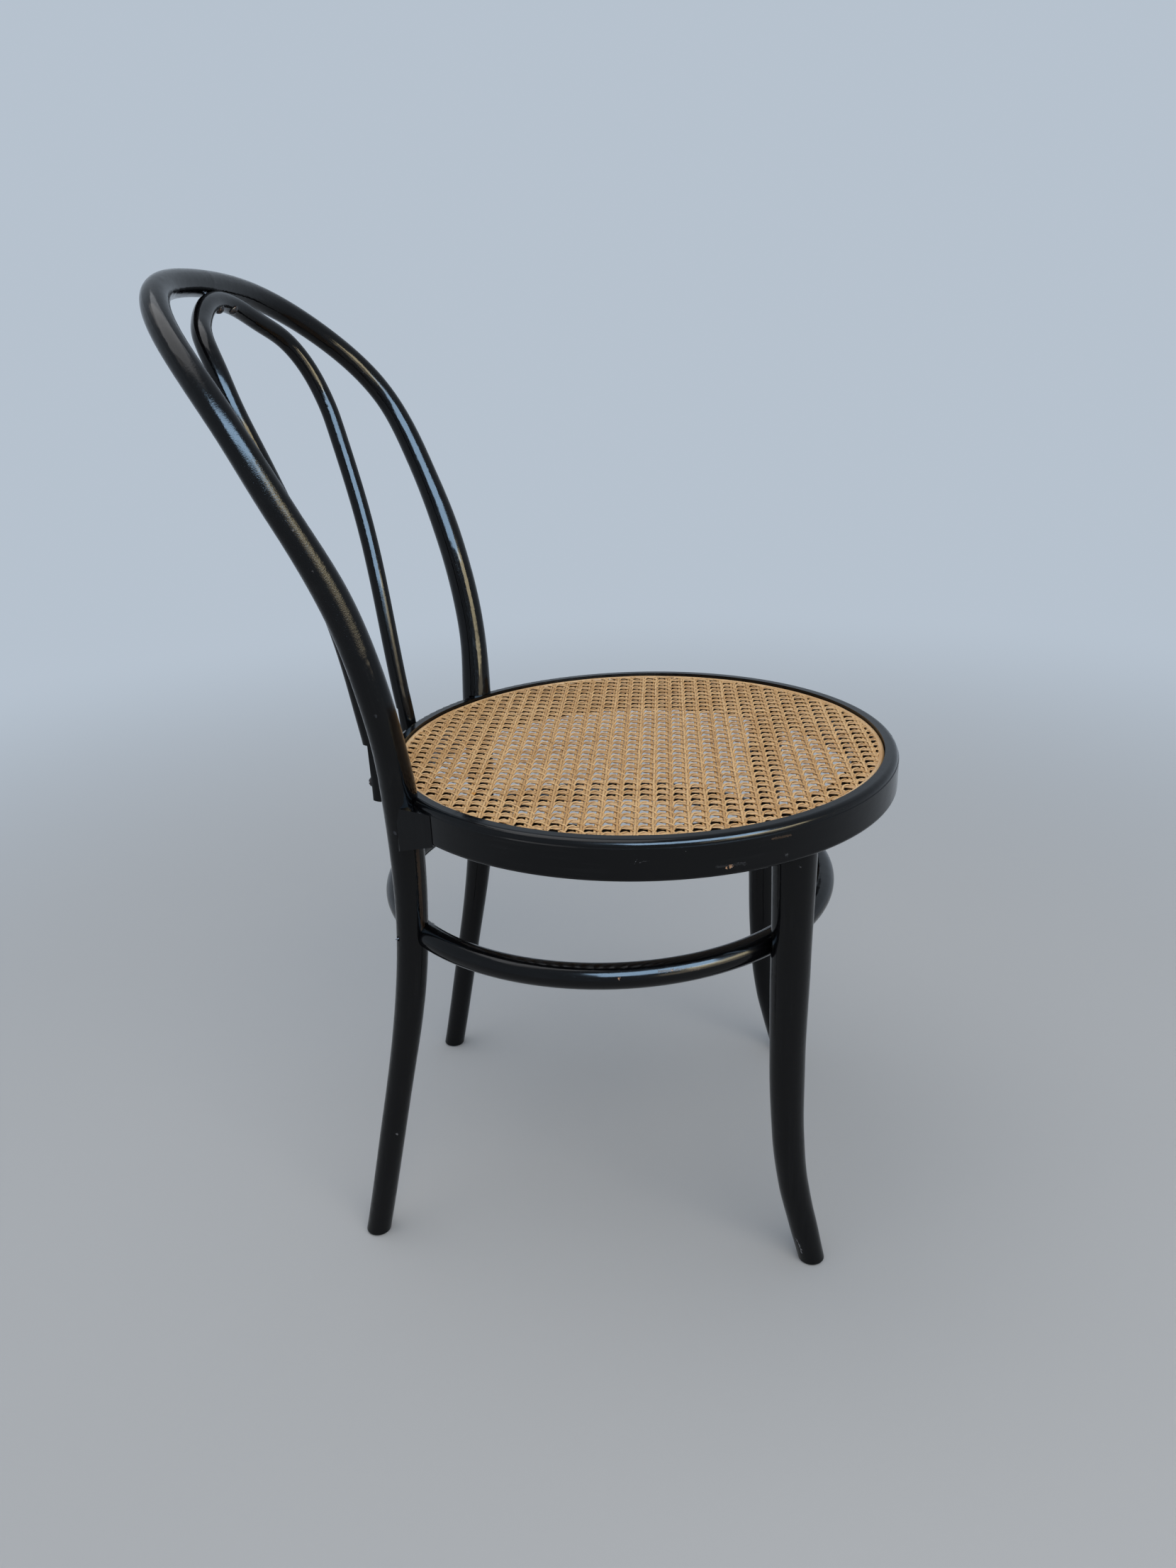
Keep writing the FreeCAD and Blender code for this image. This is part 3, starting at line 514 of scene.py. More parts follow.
@dataclass(frozen=True)
class CaneSkin:
    """Split rattan: golden skin with lengthwise fibres, darker joints, painted shade along each strand's
    two edges and a soft shine.

    The fibres' scales are for the place across the strand, the place along it and its tone."""

    pale: Colour = (0.72, 0.45, 0.205)
    golden: Colour = (0.53, 0.295, 0.110)
    # Dark of the fibres and joints, also used as painted shade at each strand's edges
    fibre_joint_and_edge_shade_dark: Colour = (0.18, 0.075, 0.022)
    knot: Colour = (0.62, 0.27, 0.045)
    knot_pixel: Pair = (668.0, 1120.0)
    knot_edge: Pair = (0.0030, 0.0016)
    fibre_scales: Triple = (9.0, 60.0, 40.0)
    fibre_fade: Pair = (0.55, 0.80)
    fibre_share: float = 0.55
    fibre_depth: float = 0.00010
    slow_scale: float = 14.0
    golden_fade: Pair = (0.55, 1.45)
    joint_pace: float = 5.2
    joint_shift: float = 9.0
    joint_fade: Pair = (0.985, 0.998)
    joint_share: float = 0.6
    # Painted shade: where across the width the strand's edges start to darken, and how dark they get, in
    # place of the shade in the gaps between strands
    edge_shade_fade: Pair = (0.30, 0.52)
    edge_shade_share: float = 0.75
    roughness: Pair = (0.36, 0.58)
    shine: float = 0.22

    def make(self, name: str, seat_top: float) -> Paint:
        """The finish of a weave at the height seat_top, from the strand's tone and the place on it."""
        paint = Paint(name)
        tone = paint.attribute("tone")
        along = paint.attribute("along")
        across = paint.attribute("across")
        fibre_place = paint.joined(*(paint.sum("MULTIPLY", number, scale) for number, scale
                                     in zip((across, along, tone), self.fibre_scales)))
        fibres = paint.noise(fibre_place, 1.0)
        slow = paint.noise(paint.joined(paint.sum("MULTIPLY", along, self.slow_scale), tone, 0.0), 1.0)
        golden = paint.ease(paint.sum("ADD", tone, slow), *self.golden_fade)
        colour = paint.mix(golden, self.pale, self.golden)
        streaks = paint.ease(fibres, *self.fibre_fade)
        colour = paint.mix(paint.sum("MULTIPLY", streaks, self.fibre_share), colour, self.fibre_joint_and_edge_shade_dark)
        joints = paint.sum("ADD", paint.sum("MULTIPLY", along, self.joint_pace),
                           paint.sum("MULTIPLY", tone, self.joint_shift))
        joints = paint.ease(paint.sum("PINGPONG", joints, 1.0), *self.joint_fade)
        colour = paint.mix(paint.sum("MULTIPLY", joints, self.joint_share), colour, self.fibre_joint_and_edge_shade_dark)
        # Painted shade: each strand darkens towards its two edges, in place of the shade that falls in
        # the gaps between strands
        edge = paint.ease(paint.sum("ABSOLUTE", across), *self.edge_shade_fade)
        colour = paint.mix(paint.sum("MULTIPLY", edge, self.edge_shade_share), colour, self.fibre_joint_and_edge_shade_dark)
        ray = EYE.ray(*self.knot_pixel)
        reach = (seat_top - EYE.place[2]) / ray.z
        knot = Vector(EYE.place) + ray * reach
        distance = paint.vector("DISTANCE", paint.place(), tuple(knot))
        colour = paint.mix(paint.ease(distance, *self.knot_edge), colour, self.knot)
        paint.feed(Base_Color=colour, Roughness=paint.between(fibres, *self.roughness),
                   Normal=paint.bump(fibres, self.fibre_depth), Specular_IOR_Level=self.shine)
        return paint


@dataclass(frozen=True)
class ReedSkin:
    """Round reed: orange-tan pith with fine ridges all along."""

    light: Colour = (0.74, 0.48, 0.235)
    deep: Colour = (0.60, 0.33, 0.125)
    groove: Colour = (0.32, 0.145, 0.045)
    lines_around: float = 9.0
    lines_along: float = 18.0
    line_fade: Pair = (0.52, 0.74)
    line_share: float = 0.7
    line_depth: float = 0.00035
    slow_scale: float = 12.0
    slow_fade: Pair = (0.35, 0.68)
    roughness: Pair = (0.38, 0.60)
    shine: float = 0.4

    def make(self, name: str) -> Paint:
        """The finish of the reed, from the place along and across the reed."""
        paint = Paint(name)
        across = paint.attribute("across")
        along = paint.attribute("along")
        round_x = paint.sum("MULTIPLY", paint.sum("COSINE", across), self.lines_around)
        round_y = paint.sum("MULTIPLY", paint.sum("SINE", across), self.lines_around)
        onward = paint.sum("MULTIPLY", along, self.lines_along)
        lines = paint.noise(paint.joined(round_x, round_y, onward), 1.0, 3.0)
        slow_place = paint.joined(paint.sum("MULTIPLY", along, self.slow_scale), 0.0, 0.0)
        slow = paint.ease(paint.noise(slow_place, 1.0, 3.0), *self.slow_fade)
        colour = paint.mix(slow, self.light, self.deep)
        grooves = paint.ease(lines, *self.line_fade)
        colour = paint.mix(paint.sum("MULTIPLY", grooves, self.line_share), colour, self.groove)
        paint.feed(Base_Color=colour, Roughness=paint.between(lines, *self.roughness),
                   Normal=paint.bump(lines, self.line_depth), Specular_IOR_Level=self.shine)
        return paint


@dataclass(frozen=True)
class DarkSteel:
    """Blackened steel of the screws and washers, with a little rust."""

    steel: Colour = (0.045, 0.044, 0.046)
    rust: Colour = (0.10, 0.045, 0.02)
    metal: float = 0.8
    patch_scale: float = 900.0
    patch_fade: Pair = (0.56, 0.70)
    patch_depth: float = 0.00006
    roughness: Pair = (0.32, 0.68)

    def make(self, name: str) -> Paint:
        """The finish of every screw and washer."""
        paint = Paint(name)
        patches = paint.ease(paint.noise(paint.place(), self.patch_scale, 4.0), *self.patch_fade)
        colour = paint.mix(patches, self.steel, self.rust)
        paint.feed(Base_Color=colour, Metallic=self.metal, Normal=paint.bump(patches, self.patch_depth),
                   Roughness=paint.between(patches, *self.roughness))
        return paint


# Meshes


def solid_mesh(name: str, points: np.ndarray, faces: list[np.ndarray],
               numbers: dict[str, np.ndarray]) -> bpy.types.Object:
    """Makes an object from whole arrays.

    Args:
        name: the piece's name.
        points: its points in metres, one row each.
        faces: arrays of faces, one row of point numbers each.
        numbers: numbers held at each point, by attribute name.

    Returns:
        The object, smooth shaded, at the origin.
    """
    mesh = bpy.data.meshes.new(name)
    rows = [row for block in faces for row in block.tolist()]
    mesh.from_pydata(points.tolist(), [], rows)
    for key, values in numbers.items():
        layer = mesh.attributes.new(key, "FLOAT", "POINT")
        layer.data.foreach_set("value", values.astype(np.float32))
    mesh.polygons.foreach_set("use_smooth", np.ones(len(mesh.polygons), bool))
    mesh.update()
    piece = bpy.data.objects.new(name, mesh)
    bpy.context.collection.objects.link(piece)
    return piece


@dataclass(frozen=True)
class Strands:
    """Many flat strands in one mesh: each is a lens-shaped section carried along its middle line."""

    width: float
    thickness: float
    # Corners of the section as shares of the width and of the thickness, going round from one edge
    section: tuple[Pair, ...] = (
        (-0.5, -0.12), (-0.27, 0.36), (0.0, 0.5), (0.27, 0.36), (0.5, -0.12), (0.0, -0.5))

    def make(self, name: str, middle: np.ndarray, heading: np.ndarray, counts: np.ndarray,
             tone: np.ndarray, along: np.ndarray) -> bpy.types.Object:
        """Sweeps the section along every strand at once.

        A point is the middle plus the side direction times its share of the width plus the upward
        direction times its share of the thickness; the side is level and square to the heading.

        Args:
            name: the piece's name.
            middle: the stations of all strands one after another, in metres.
            heading: the unit heading at each station.
            counts: how many stations each strand has.
            tone: the strand's tone at each station.
            along: metres along the strand at each station.

        Returns:
            The piece.
        """
        side = np.stack([heading[:, 1], -heading[:, 0], np.zeros(len(heading))], axis=1)
        side /= np.linalg.norm(side, axis=1, keepdims=True)
        up = np.cross(side, heading)
        shares = np.array(self.section)
        corners = len(shares)
        points = (middle[:, None, :]
                  + side[:, None, :] * (shares[:, 0] * self.width)[None, :, None]
                  + up[:, None, :] * (shares[:, 1] * self.thickness)[None, :, None])
        ends = np.cumsum(counts) - 1
        starts = ends - counts + 1
        inner = np.ones(len(middle), bool)
        inner[ends] = False
        here = np.nonzero(inner)[0][:, None] * corners + np.arange(corners)[None, :]
        after = np.roll(here, -1, axis=1)
        walls = np.stack([here, after, after + corners, here + corners], axis=-1).reshape(-1, 4)
        ring = np.arange(corners)
        first = starts[:, None] * corners + ring[::-1][None, :]
        last = ends[:, None] * corners + ring[None, :]
        numbers = {
            "tone": np.repeat(tone, corners),
            "along": np.repeat(along, corners),
            "across": np.tile(shares[:, 0], len(middle)),
        }
        return solid_mesh(name, points.reshape(-1, 3), [walls, first, last], numbers)


# Woven cane


class Weave(Enum):
    """The four ways in which strands cross the seat."""

    COLUMN = "across the chair, in pairs"
    ROW = "front to back, in pairs"
    RISING = "slanting, over the rows"
    FALLING = "slanting, over the columns"


@dataclass(frozen=True)
class Lattice:
    """Where the holes of the cane lie, in millimetres from the seat's middle.

    Hole (s, t) is at the first hole plus s steps along and t steps across; rows bow a little, by a
    square of s and of t."""

    first: Pair = (4.4, 33.4)
    along: Pair = (0.64, -13.02)
    across: Pair = (-11.84, -0.74)
    bow_along: float = 0.0375
    bow_across: float = 0.0053

    def place(self, s: np.ndarray, t: np.ndarray) -> np.ndarray:
        """x and y, on the last axis, of the point s steps along and t steps across."""
        x = self.first[0] + self.along[0] * s + self.across[0] * t
        y = self.first[1] + self.along[1] * s + self.across[1] * t
        x = x + self.bow_along * s * s + self.bow_across * t * t
        return np.stack([x, y], axis=-1)


@dataclass
class CaneSeat:
    """The six-way woven cane sheet: four pieces, one for each way the strands run.

    Sizes are millimetres; arch, search_reach and search_step are lattice steps, and a share, a lift
    of columns or slants and how steeply a slant dives are plain numbers."""

    centre_y: float
    level: float = 421.75
    radius: float = 204.9
    width: float = 2.36
    pair_gap: float = 1.26
    thickness: float = 0.84
    lift: float = 0.58
    column_lift: float = 1.25
    slant_lift: float = 1.35
    slant_dive: float = 2.4
    step: float = 1.6
    slant_pace: float = 17.6
    shortest: float = 8.0
    arch: float = 0.085
    falling_share: float = 0.3
    wobble: float = 0.16
    unevenness: float = 0.10
    sag: float = 0.9
    sag_radius: float = 200.0
    tuck_radius: float = 196.0
    tuck_width: float = 9.0
    tuck_share: float = 0.6
    straight_lines: int = 20
    slant_lines: int = 38
    search_reach: float = 24.0
    search_step: float = 0.02
    lattice: Lattice = Lattice()
    skin: CaneSkin = CaneSkin()
    seed: int = 20

    def lines(self, weave: Weave) -> np.ndarray:
        """The lattice line and the side of the pair of each strand of one way, one row each."""
        straight = weave in (Weave.COLUMN, Weave.ROW)
        reach = self.straight_lines if straight else self.slant_lines
        line = np.arange(-reach, reach) + 0.5
        sides = (-1.0, 1.0) if straight else (0.0,)
        return np.array([(value, side) for value in line for side in sides])

    def coordinates(self, weave: Weave, line: np.ndarray, side: np.ndarray,
                    run: np.ndarray) -> tuple[np.ndarray, np.ndarray]:
        """Lattice coordinates of a strand's middle line.

        Columns keep s, rows keep t, and the two slants keep s + t and s - t. A slant bows sideways as
        the cosine of its run, so that it arches round each hole, the falling ones less.

        Args:
            weave: which way the strands run.
            line: the strand's lattice line.
            side: its side of the pair.
            run: how far along it the point is, in steps.

        Returns:
            s and t.
        """
        apart = self.pair_gap * side
        if weave is Weave.COLUMN:
            return line + apart / abs(self.lattice.along[1]), run
        if weave is Weave.ROW:
            return run, line + apart / abs(self.lattice.across[0])
        bow = self.arch * np.cos(TURN * run)
        if weave is Weave.RISING:
            return run - bow, line - run - bow
        return run + self.falling_share * bow, run - line - self.falling_share * bow

    def height(self, weave: Weave, side: np.ndarray, s: np.ndarray, t: np.ndarray) -> np.ndarray:
        """How far above the sheet's middle a strand passes.

        Rows lie flat. Of a column's pair one strand goes over each row and the other under it, as
        half of one minus the cosine. A slant is a flattened cosine: over one pair, under the next.

        Args:
            weave: which way the strands run.
            side: the side of the pair.
            s: steps along.
            t: steps across.

        Returns:
            The height in millimetres.
        """
        if weave is Weave.ROW:
            return np.zeros_like(s)
        if weave is Weave.COLUMN:
            return self.lift * self.column_lift * side * (1.0 - np.cos(TURN * t)) / 2.0
        swing = np.tanh(self.slant_dive * np.cos(TURN * s)) / math.tanh(self.slant_dive)
        return self.lift * self.slant_lift * (swing if weave is Weave.RISING else -swing)

    def middle(self, weave: Weave, line: np.ndarray, side: np.ndarray, run: np.ndarray,
               phase: np.ndarray) -> np.ndarray:
        """The strand's middle line in millimetres from the seat's middle.

        It strays sideways by two sines of its run and up and down by a third, the sheet sags as a
        bowl does, and near the groove the strands are pressed flatter.

        Args:
            weave: which way the strands run.
            line: the strand's lattice line.
            side: its side of the pair.
            run: how far along it the point is, in steps.
            phase: a number that makes each strand stray in its own way.

        Returns:
            x, y and z on the last axis.
        """
        s, t = self.coordinates(weave, line, side, run)
        place = self.lattice.place(s, t)
        stray = self.wobble * (np.sin(run * 1.1 + phase) + 0.7 * np.sin(run * 2.7 + 2.3 * phase))
        sideways = {Weave.COLUMN: (0.0, 1.0), Weave.ROW: (1.0, 0.0),
                    Weave.RISING: (0.7, 0.7), Weave.FALLING: (0.7, -0.7)}[weave]
        place = place + stray[..., None] * np.array(sideways)
        radius = np.hypot(place[..., 0], place[..., 1])
        tucked = np.clip((radius - self.tuck_radius) / self.tuck_width, 0.0, 1.0)
        height = self.height(weave, side, s, t) * (1.0 - self.tuck_share * tucked)
        sag = -self.sag * np.clip(1.0 - (radius / self.sag_radius) ** 2, 0.0, 1.0)
        lift = self.unevenness * np.sin(run * 0.9 + 1.7 * phase)
        return np.concatenate([place, (self.level + height + lift + sag)[..., None]], axis=-1)

    def trimmed(self, weave: Weave, lines: np.ndarray,
                phase: np.ndarray) -> tuple[np.ndarray, np.ndarray, np.ndarray]:
        """Where each strand enters and leaves the seat.

        Args:
            weave: which way the strands run.
            lines: line and side of each strand.
            phase: the strands' phases.

        Returns:
            Which strands cross the seat, and their first and last runs.
        """
        run = np.arange(-self.search_reach, self.search_reach, self.search_step)[None, :]
        places = self.middle(weave, lines[:, :1], lines[:, 1:], run, phase[:, None])
        inside = np.hypot(places[..., 0], places[..., 1]) < self.radius
        first = run[0][inside.argmax(axis=1)]
        last = run[0][inside.shape[1] - 1 - inside[:, ::-1].argmax(axis=1)]
        return inside.any(axis=1), first, last

    def strands(self, weave: Weave, name: str, seed: int) -> bpy.types.Object:
        """One piece: every strand that runs one way.

        Args:
            weave: which way the strands run.
            name: the piece's name.
            seed: seeds the strands' tones and wobble.

        Returns:
            The piece.
        """
        random = np.random.default_rng(seed)
        lines = self.lines(weave)
        phase = random.uniform(0.0, 40.0, len(lines))
        tones = random.uniform(0.0, 1.0, len(lines))
        crossing, first, last = self.trimmed(weave, lines, phase)
        pace = {Weave.COLUMN: abs(self.lattice.across[0]),
                Weave.ROW: abs(self.lattice.along[1])}.get(weave, self.slant_pace)
        length = (last - first) * pace
        kept = crossing & (length > self.shortest)
        counts = np.ceil(length[kept] / self.step).astype(int) + 1
        owner = np.repeat(np.nonzero(kept)[0], counts)
        starts = np.cumsum(counts) - counts
        index = np.arange(counts.sum()) - np.repeat(starts, counts)
        share = index / np.repeat(counts - 1, counts)
        run = first[owner] + share * (last - first)[owner]
        line, side = lines[owner, 0], lines[owner, 1]
        near = 0.01
        middle = self.middle(weave, line, side, run, phase[owner])
        ahead = self.middle(weave, line, side, run + near, phase[owner])
        back = self.middle(weave, line, side, run - near, phase[owner])
        heading = ahead - back
        heading /= np.linalg.norm(heading, axis=1, keepdims=True)
        middle = (middle + np.array([0.0, self.centre_y, 0.0])) * MM
        maker = Strands(self.width * MM, self.thickness * MM)
        along = share * length[owner] * MM + tones[owner]
        return maker.make(name, middle, heading, counts, tones[owner], along)

    def build(self) -> None:
        """Makes the four pieces, dresses them and lets them stand for the plain sheet."""
        paint = self.skin.make("cane_skin", self.level * MM)
        names = {Weave.COLUMN: "cane_columns", Weave.ROW: "cane_rows",
                 Weave.RISING: "cane_rising_slants", Weave.FALLING: "cane_falling_slants"}
        for number, (weave, name) in enumerate(names.items()):
            piece = self.strands(weave, name, self.seed + number)
            dress(piece, paint)
            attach(piece, BODY)
            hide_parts("seat_cane")
            LOG.info("%s: %d faces", name, len(piece.data.polygons))


@dataclass
class ReedSpline:
    """The reed pressed into the groove over the cane's edge, with one butt joint.

    Sizes are millimetres, and the joint's bearing round the seat is degrees."""

    centre_y: float
    radius: float = 206.5
    level: float = 419.85
    thick: float = 5.6
    gap: float = 0.7
    joint: float = 143.0
    stations: int = 540
    corners: int = 30
    skin: ReedSkin = ReedSkin()

    def build(self) -> None:
        """Carries a finely ridged circle round the seat and closes its two ends.

        A point's distance from the reed's middle line is half its thickness plus ridges that are a
        sum of cosines of its bearing; the middle line wanders a little with the turn."""
        free = self.gap / self.radius
        start = math.radians(self.joint) + free / 2.0
        share = np.linspace(0.0, 1.0, self.stations)[:, None]
        turn = start + share * (TURN - free)
        bearing = (TURN * np.arange(self.corners) / self.corners)[None, :]
        twist = 3.0 * np.sin(3.0 * turn)
        ridges = 0.035 * np.cos(9.0 * bearing + twist) + 0.03 * np.cos(13.0 * bearing + turn)
        half = self.thick / 2.0 + ridges + 0.05 * np.sin(11.0 * turn) + 0.03 * np.sin(29.0 * turn)
        wander = 0.10 * np.sin(5.0 * turn + 1.0) + 0.05 * np.sin(17.0 * turn)
        lift = 0.12 * np.sin(4.0 * turn) + 0.05 * np.sin(23.0 * turn)
        out = self.radius + wander + half * np.cos(bearing)
        points = np.stack([out * np.cos(turn), out * np.sin(turn) + self.centre_y,
                           self.level + lift + half * np.sin(bearing)], axis=-1) * MM
        ring = np.arange(self.corners)[None, :]
        here = np.arange(self.stations - 1)[:, None] * self.corners + ring
        after = np.roll(here, -1, axis=1)
        walls = np.stack([here, here + self.corners, after + self.corners, after], axis=-1)
        caps = [ring, (self.stations - 1) * self.corners + ring[:, ::-1]]
        along = np.broadcast_to(turn * self.radius * MM, points.shape[:2]).ravel()
        numbers = {"along": along, "across": np.broadcast_to(bearing, points.shape[:2]).ravel()}
        faces = [walls.reshape(-1, 4)] + caps
        piece = solid_mesh("reed_spline", points.reshape(-1, 3), faces, numbers)
        dress(piece, self.skin.make("reed_skin"))
        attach(piece, BODY)
        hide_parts("cane_spline")
        LOG.info("reed_spline: %d faces", len(piece.data.polygons))


# Lacquered wood and screws

BOW_MARKS = (
    # The near rear leg and upright beside the seat
    Mark(Tone.RUB, (562.0, 1005.0), (584.0, 1105.0), 7.0, 0.9),
    Mark(Tone.RUB, (590.0, 1195.0), (598.0, 1330.0), 5.0, 0.7),
    spot(Tone.SCUFF, (500.0, 880.0), 3.0),
    spot(Tone.SCUFF, (530.0, 1010.0), 3.0),
    spot(Tone.SCUFF, (557.0, 1175.0), 4.0),
    spot(Tone.SCRATCH, (560.0, 1600.0), 2.0, 0.5),
    # The upper part of that upright
    Mark(Tone.RIPPLE, (285.0, 540.0), (368.0, 680.0), 42.0, 0.7),
    Mark(Tone.RIPPLE, (368.0, 680.0), (500.0, 895.0), 42.0),
    spot(Tone.SCRATCH, (413.0, 748.0), 2.2, 0.5),
    spot(Tone.SCRATCH, (441.0, 806.0), 1.8, 0.4),
    # The arch
    Mark(Tone.CRACK, (204.0, 388.0), (212.0, 402.0), 0.8),
    Mark(Tone.CRACK, (214.0, 385.0), (221.0, 397.0), 0.7),
    Mark(Tone.CRACK, (288.0, 383.0), (292.0, 390.0), 0.7),
    Mark(Tone.CRACK, (320.0, 391.0), (336.0, 397.0), 0.7),
)
INNER_MARKS = (
    Mark(Tone.RIPPLE, (543.0, 845.0), (570.0, 950.0), 24.0, 0.8),
)
RING_MARKS = (
    # The near wall
    spot(Tone.CHIP, (1031.0, 1222.0), 3.6),
    spot(Tone.CHIP, (1025.0, 1224.0), 2.0),
    Mark(Tone.SCUFF, (1012.0, 1223.0), (1050.0, 1218.0), 3.0),
    Mark(Tone.SCRATCH, (895.0, 1218.0), (898.0, 1213.0), 0.7, 0.7),
    Mark(Tone.SCRATCH, (900.0, 1217.0), (916.0, 1214.0), 0.6, 0.4),
    Mark(Tone.SCUFF, (648.0, 1204.0), (662.0, 1216.0), 3.0),
    spot(Tone.SCRATCH, (968.0, 1201.0), 1.2, 0.6),
    Mark(Tone.RUB, (1090.0, 1184.0), (1115.0, 1178.0), 2.5, 0.8),
    spot(Tone.SCUFF, (1110.0, 1206.0), 4.0),
    # The far inner edge
    spot(Tone.CHIP, (859.0, 957.0), 3.0),
    spot(Tone.CHIP, (900.0, 956.0), 2.4),
    spot(Tone.CHIP, (976.0, 958.0), 3.0),
    spot(Tone.CHIP, (1022.0, 961.0), 2.6),
    spot(Tone.CHIP, (1102.0, 972.0), 2.4),
    spot(Tone.CHIP, (1154.0, 987.0), 3.0),
)
LEG_RING_MARKS = (
    spot(Tone.CHIP, (873.0, 1381.0), 2.6),
    Mark(Tone.RUB, (930.0, 1370.0), (985.0, 1366.0), 3.0),
    spot(Tone.CHIP, (948.0, 1369.0), 1.8, 0.7),
)
NEAR_LEG_MARKS = (
    spot(Tone.SCUFF, (1130.0, 1293.0), 3.5),
    spot(Tone.SCRATCH, (1129.0, 1223.0), 1.6, 0.6),
    Mark(Tone.SCRATCH, (1127.0, 1755.0), (1131.0, 1768.0), 1.4, 0.9),
    Mark(Tone.SCRATCH, (1123.0, 1748.0), (1128.0, 1756.0), 1.0, 0.7),
)


@dataclass
class WoodFrame:
    """Every lacquered piece: bows, rings, legs and packing blocks."""

    nodes: dict[str, bpy.types.Object]
    centre_y: float
    stretcher_y: float
    arch_height: float = 0.64
    lacquer: Lacquer = Lacquer()

    def build(self) -> None:
        """Gives each wooden piece its own lacquer, brushed the way that the piece runs."""
        seat = Vector((0.0, self.centre_y, 0.0))
        legs = Vector((0.0, self.stretcher_y, 0.0))
        arch = Vector((0.0, 0.0, self.arch_height))
        plan = {
            "back_bow_and_rear_legs": (Run.BOW, arch, BOW_MARKS, 1.0),
            "inner_bow": (Run.BOW, arch, INNER_MARKS, 0.8),
            "seat_ring": (Run.HOOP, seat, RING_MARKS, 0.8),
            "stretcher_ring": (Run.HOOP, legs, LEG_RING_MARKS, 1.0),
            "front_leg_right": (Run.UPRIGHT, seat, NEAR_LEG_MARKS, 1.0),
            "front_leg_left": (Run.UPRIGHT, seat, (), 1.0),
            "packing_block_right": (Run.UPRIGHT, seat, (), 1.6),
            "packing_block_left": (Run.UPRIGHT, seat, (), 1.6),
        }
        for name, (run, middle, marks, rough) in plan.items():
            piece = self.nodes[name]
            dress(piece, self.lacquer.make(name + "_lacquer", run, middle, piece, marks, rough))
            LOG.info("%s: lacquer, %s", name, run.value)


@dataclass
class Fasteners:
    """Every screw and washer."""

    nodes: dict[str, bpy.types.Object]
    finish: DarkSteel = DarkSteel()

    def build(self) -> None:
        """Gives the screws and washers their blackened steel."""
        paint = self.finish.make("dark_steel")
        for name in ("rear_leg_coach_screws", "rear_leg_washers", "inner_bow_screws",
                     "bow_top_screws", "stretcher_screws", "tenon_lock_screws"):
            dress(self.nodes[name], paint)
            LOG.info("%s: steel", name)


# Studio


class Reach(Enum):
    """What a light does for the chair."""

    BOTH = "lights it and shines in it"
    SHINE = "only shines in its gloss"
    LIGHT = "only lights it"


@dataclass(frozen=True)
class Panel:
    """A soft light: a lit rectangle that faces a point of the chair.

    Its bearing and rise are degrees, its distance and sizes metres."""

    name: str
    bearing: float
    rise: float
    distance: float
    width: float
    height: float
    radiance: float
    tint: Colour
    reach: Reach = Reach.BOTH
    aim: Triple = (0.0, 0.0, 0.5)

    def make(self) -> None:
        """Hangs the light at its bearing and rise from the point that it faces."""
        data = bpy.data.lights.new(self.name, "AREA")
        data.shape = "RECTANGLE"
        data.size = self.width
        data.size_y = self.height
        data.color = self.tint
        data.energy = self.radiance * math.pi * self.width * self.height
        light = bpy.data.objects.new(self.name, data)
        bearing = math.radians(self.bearing)
        rise = math.radians(self.rise)
        away = Vector((math.cos(rise) * math.cos(bearing), math.cos(rise) * math.sin(bearing),
                       math.sin(rise)))
        turn = away.to_track_quat("Z", "Y").to_matrix().to_4x4()
        light.matrix_world = Matrix.Translation(Vector(self.aim) + away * self.distance) @ turn
        light.visible_camera = False
        light.visible_diffuse = self.reach is not Reach.SHINE
        light.visible_glossy = self.reach is not Reach.LIGHT
        bpy.context.collection.objects.link(light)


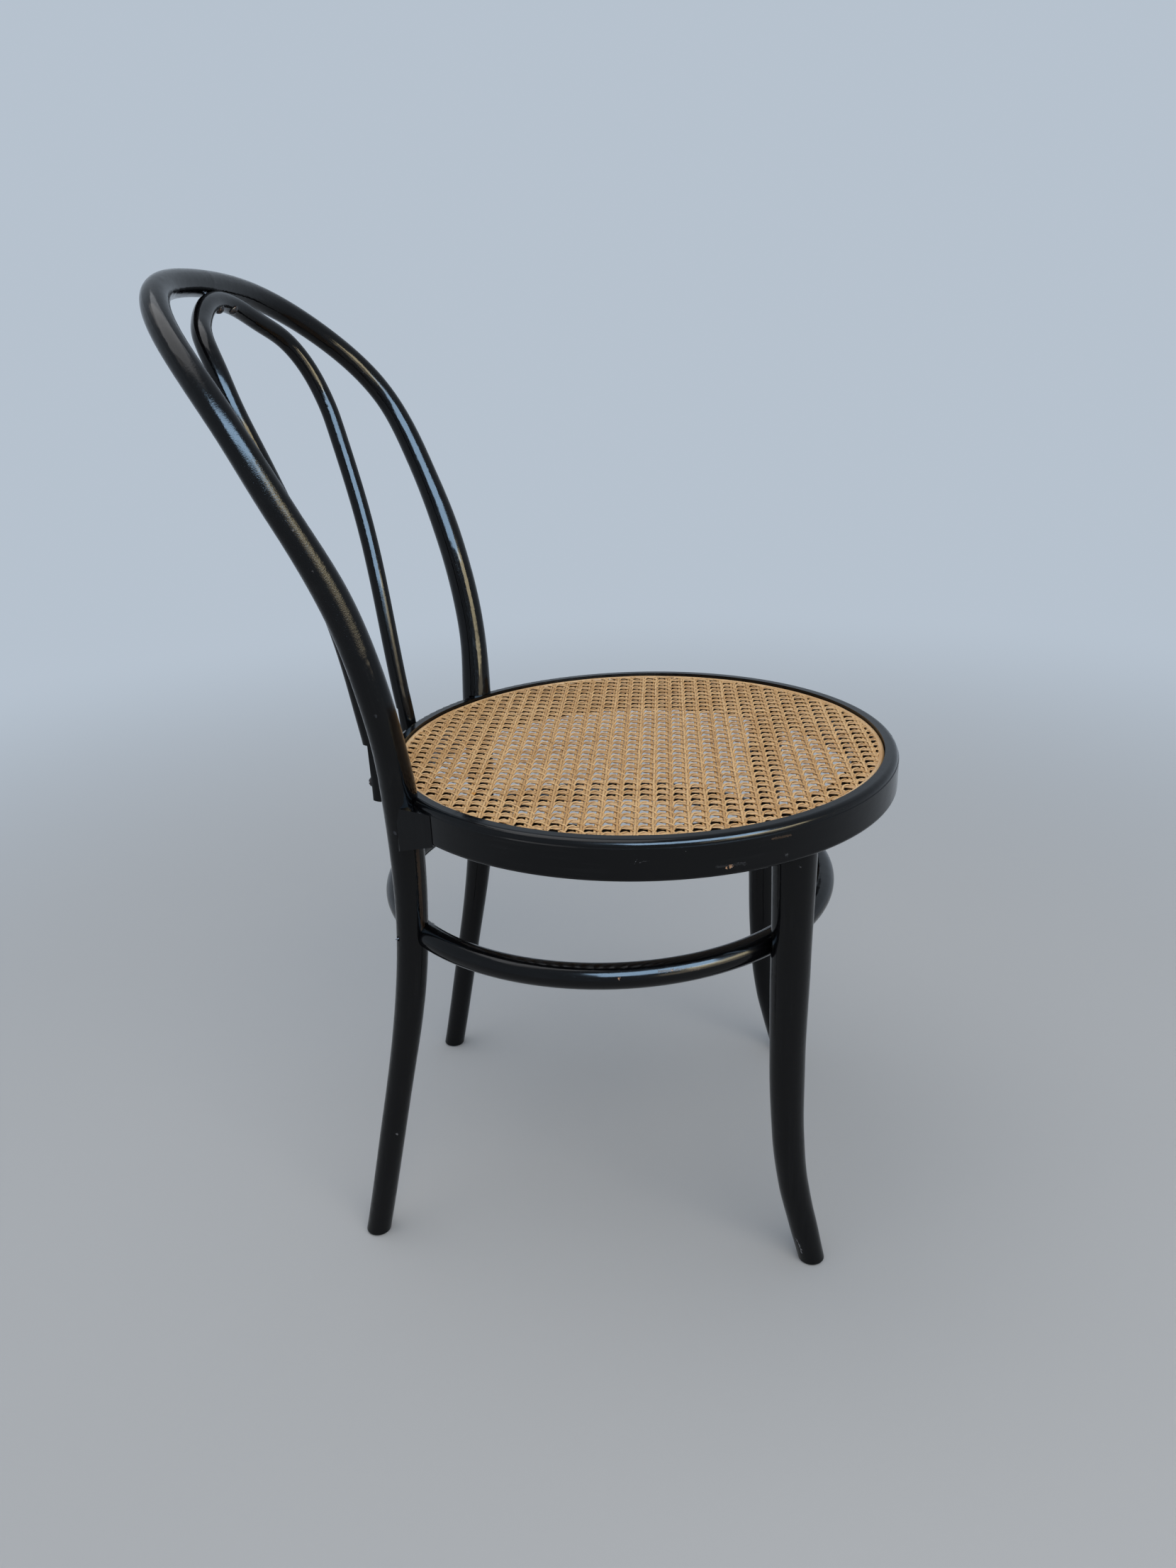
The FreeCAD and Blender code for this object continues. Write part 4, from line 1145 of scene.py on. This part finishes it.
@dataclass
class Studio:
    """Pale floor, pale surroundings and soft lights."""

    floor_colour: Colour = (0.53, 0.53, 0.53)
    floor_shade: float = 0.93
    floor_cloud: float = 0.7
    floor_lines: int = 9
    surround: Colour = (0.76, 0.87, 1.0)
    surround_level: float = 0.62
    reach: float = 14.0
    fade: Pair = (0.6, 2.4)
    # Name, bearing, rise, distance, width, height, radiance, tint and reach of each light
    panels: tuple[Panel, ...] = (
        Panel("window", -150.0, 35.0, 2.6, 2.6, 1.40, 24.0, (0.48, 0.72, 1.0), Reach.SHINE),
        Panel("warm_sill", -122.0, 15.0, 2.5, 1.5, 0.62, 15.0, (1.0, 0.86, 0.54), Reach.SHINE),
        Panel("warm_low", -132.0, 0.0, 2.5, 1.8, 0.60, 3.5, (1.0, 0.84, 0.58), Reach.SHINE),
        Panel("ceiling", 80.0, 74.0, 2.6, 2.4, 2.0, 1.5, (0.92, 0.95, 1.0), Reach.SHINE),
        Panel("soft_side", -148.0, 38.0, 2.6, 2.2, 1.2, 2.8, (1.0, 0.93, 0.84), Reach.LIGHT),
        Panel("overhead", 100.0, 72.0, 2.6, 2.2, 2.2, 1.0, (1.0, 0.95, 0.90)),
    )

    def build(self) -> None:
        """Lays the floor, lights the set and sets the plain colour view."""
        side = np.linspace(-self.reach, self.reach, self.floor_lines)
        x, y = np.meshgrid(side, side, indexing="ij")
        points = np.stack([x, y, np.zeros_like(x)], axis=-1).reshape(-1, 3)
        count = len(side)
        cells = np.arange(count - 1)
        here = (cells[:, None] * count + cells[None, :]).ravel()
        faces = np.stack([here, here + count, here + count + 1, here + 1], axis=-1)
        floor = solid_mesh("floor", points, [faces], {})
        paint = Paint("pale_floor")
        cloud = paint.noise(paint.place(), self.floor_cloud, 3.0)
        shaded = tuple(self.floor_shade * part for part in self.floor_colour)
        colour = paint.mix(cloud, self.floor_colour, shaded)
        paint.feed(Base_Color=colour, Roughness=1.0, Specular_IOR_Level=0.0)
        self.fade_away(paint)
        dress(floor, paint)
        floor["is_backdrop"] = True
        for panel in self.panels:
            panel.make()
        world = bpy.data.worlds.new("surround")
        world.use_nodes = True
        back = world.node_tree.nodes["Background"]
        back.inputs[0].default_value = (*self.surround, 1.0)
        back.inputs[1].default_value = self.surround_level
        bpy.context.scene.world = world
        bpy.context.scene.view_settings.view_transform = "Standard"
        LOG.info("studio: %d lights", len(self.panels))

    def fade_away(self, paint: Paint) -> None:
        """Lets the far floor end in the colour of the surroundings, seen or mirrored."""
        distance = paint.vector("LENGTH", paint.place())
        rays = paint.add("ShaderNodeLightPath", {})
        seen = paint.sum("MAXIMUM", rays.outputs["Is Camera Ray"], rays.outputs["Is Glossy Ray"])
        seen = paint.sum("MAXIMUM", seen, rays.outputs["Is Transmission Ray"])
        share = paint.sum("MULTIPLY", paint.ease(distance, *self.fade), seen)
        level = {"Color": (*self.surround, 1.0), "Strength": self.surround_level}
        glow = paint.add("ShaderNodeEmission", level)
        inputs = {0: share, 1: paint.shader.outputs[0], 2: glow.outputs[0]}
        mixed = paint.add("ShaderNodeMixShader", inputs)
        output = next(node for node in paint.tree.nodes if node.type == "OUTPUT_MATERIAL")
        paint.tree.links.new(mixed.outputs[0], output.inputs[0])


def corners() -> list[list[float]]:
    """The whole object's lowest and highest corner, as plain lists."""
    return [[float(number) for number in corner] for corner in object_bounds()]


def main() -> None:
    """Builds the looks round the CAD frame, sub-assembly by sub-assembly."""
    logging.basicConfig(level=logging.INFO, format="%(message)s")
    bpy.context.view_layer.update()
    nodes = frame["nodes"]
    low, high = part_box("seat_ring")
    centre_y = (low.y + high.y) / 2.0
    ring_low, ring_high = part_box("stretcher_ring")
    EYE.make_camera()
    WoodFrame(nodes, centre_y, (ring_low.y + ring_high.y) / 2.0).build()
    Fasteners(nodes).build()
    CaneSeat(centre_y / MM).build()
    ReedSpline(centre_y / MM).build()
    Studio().build()


if __name__ == "__main__":
    main()
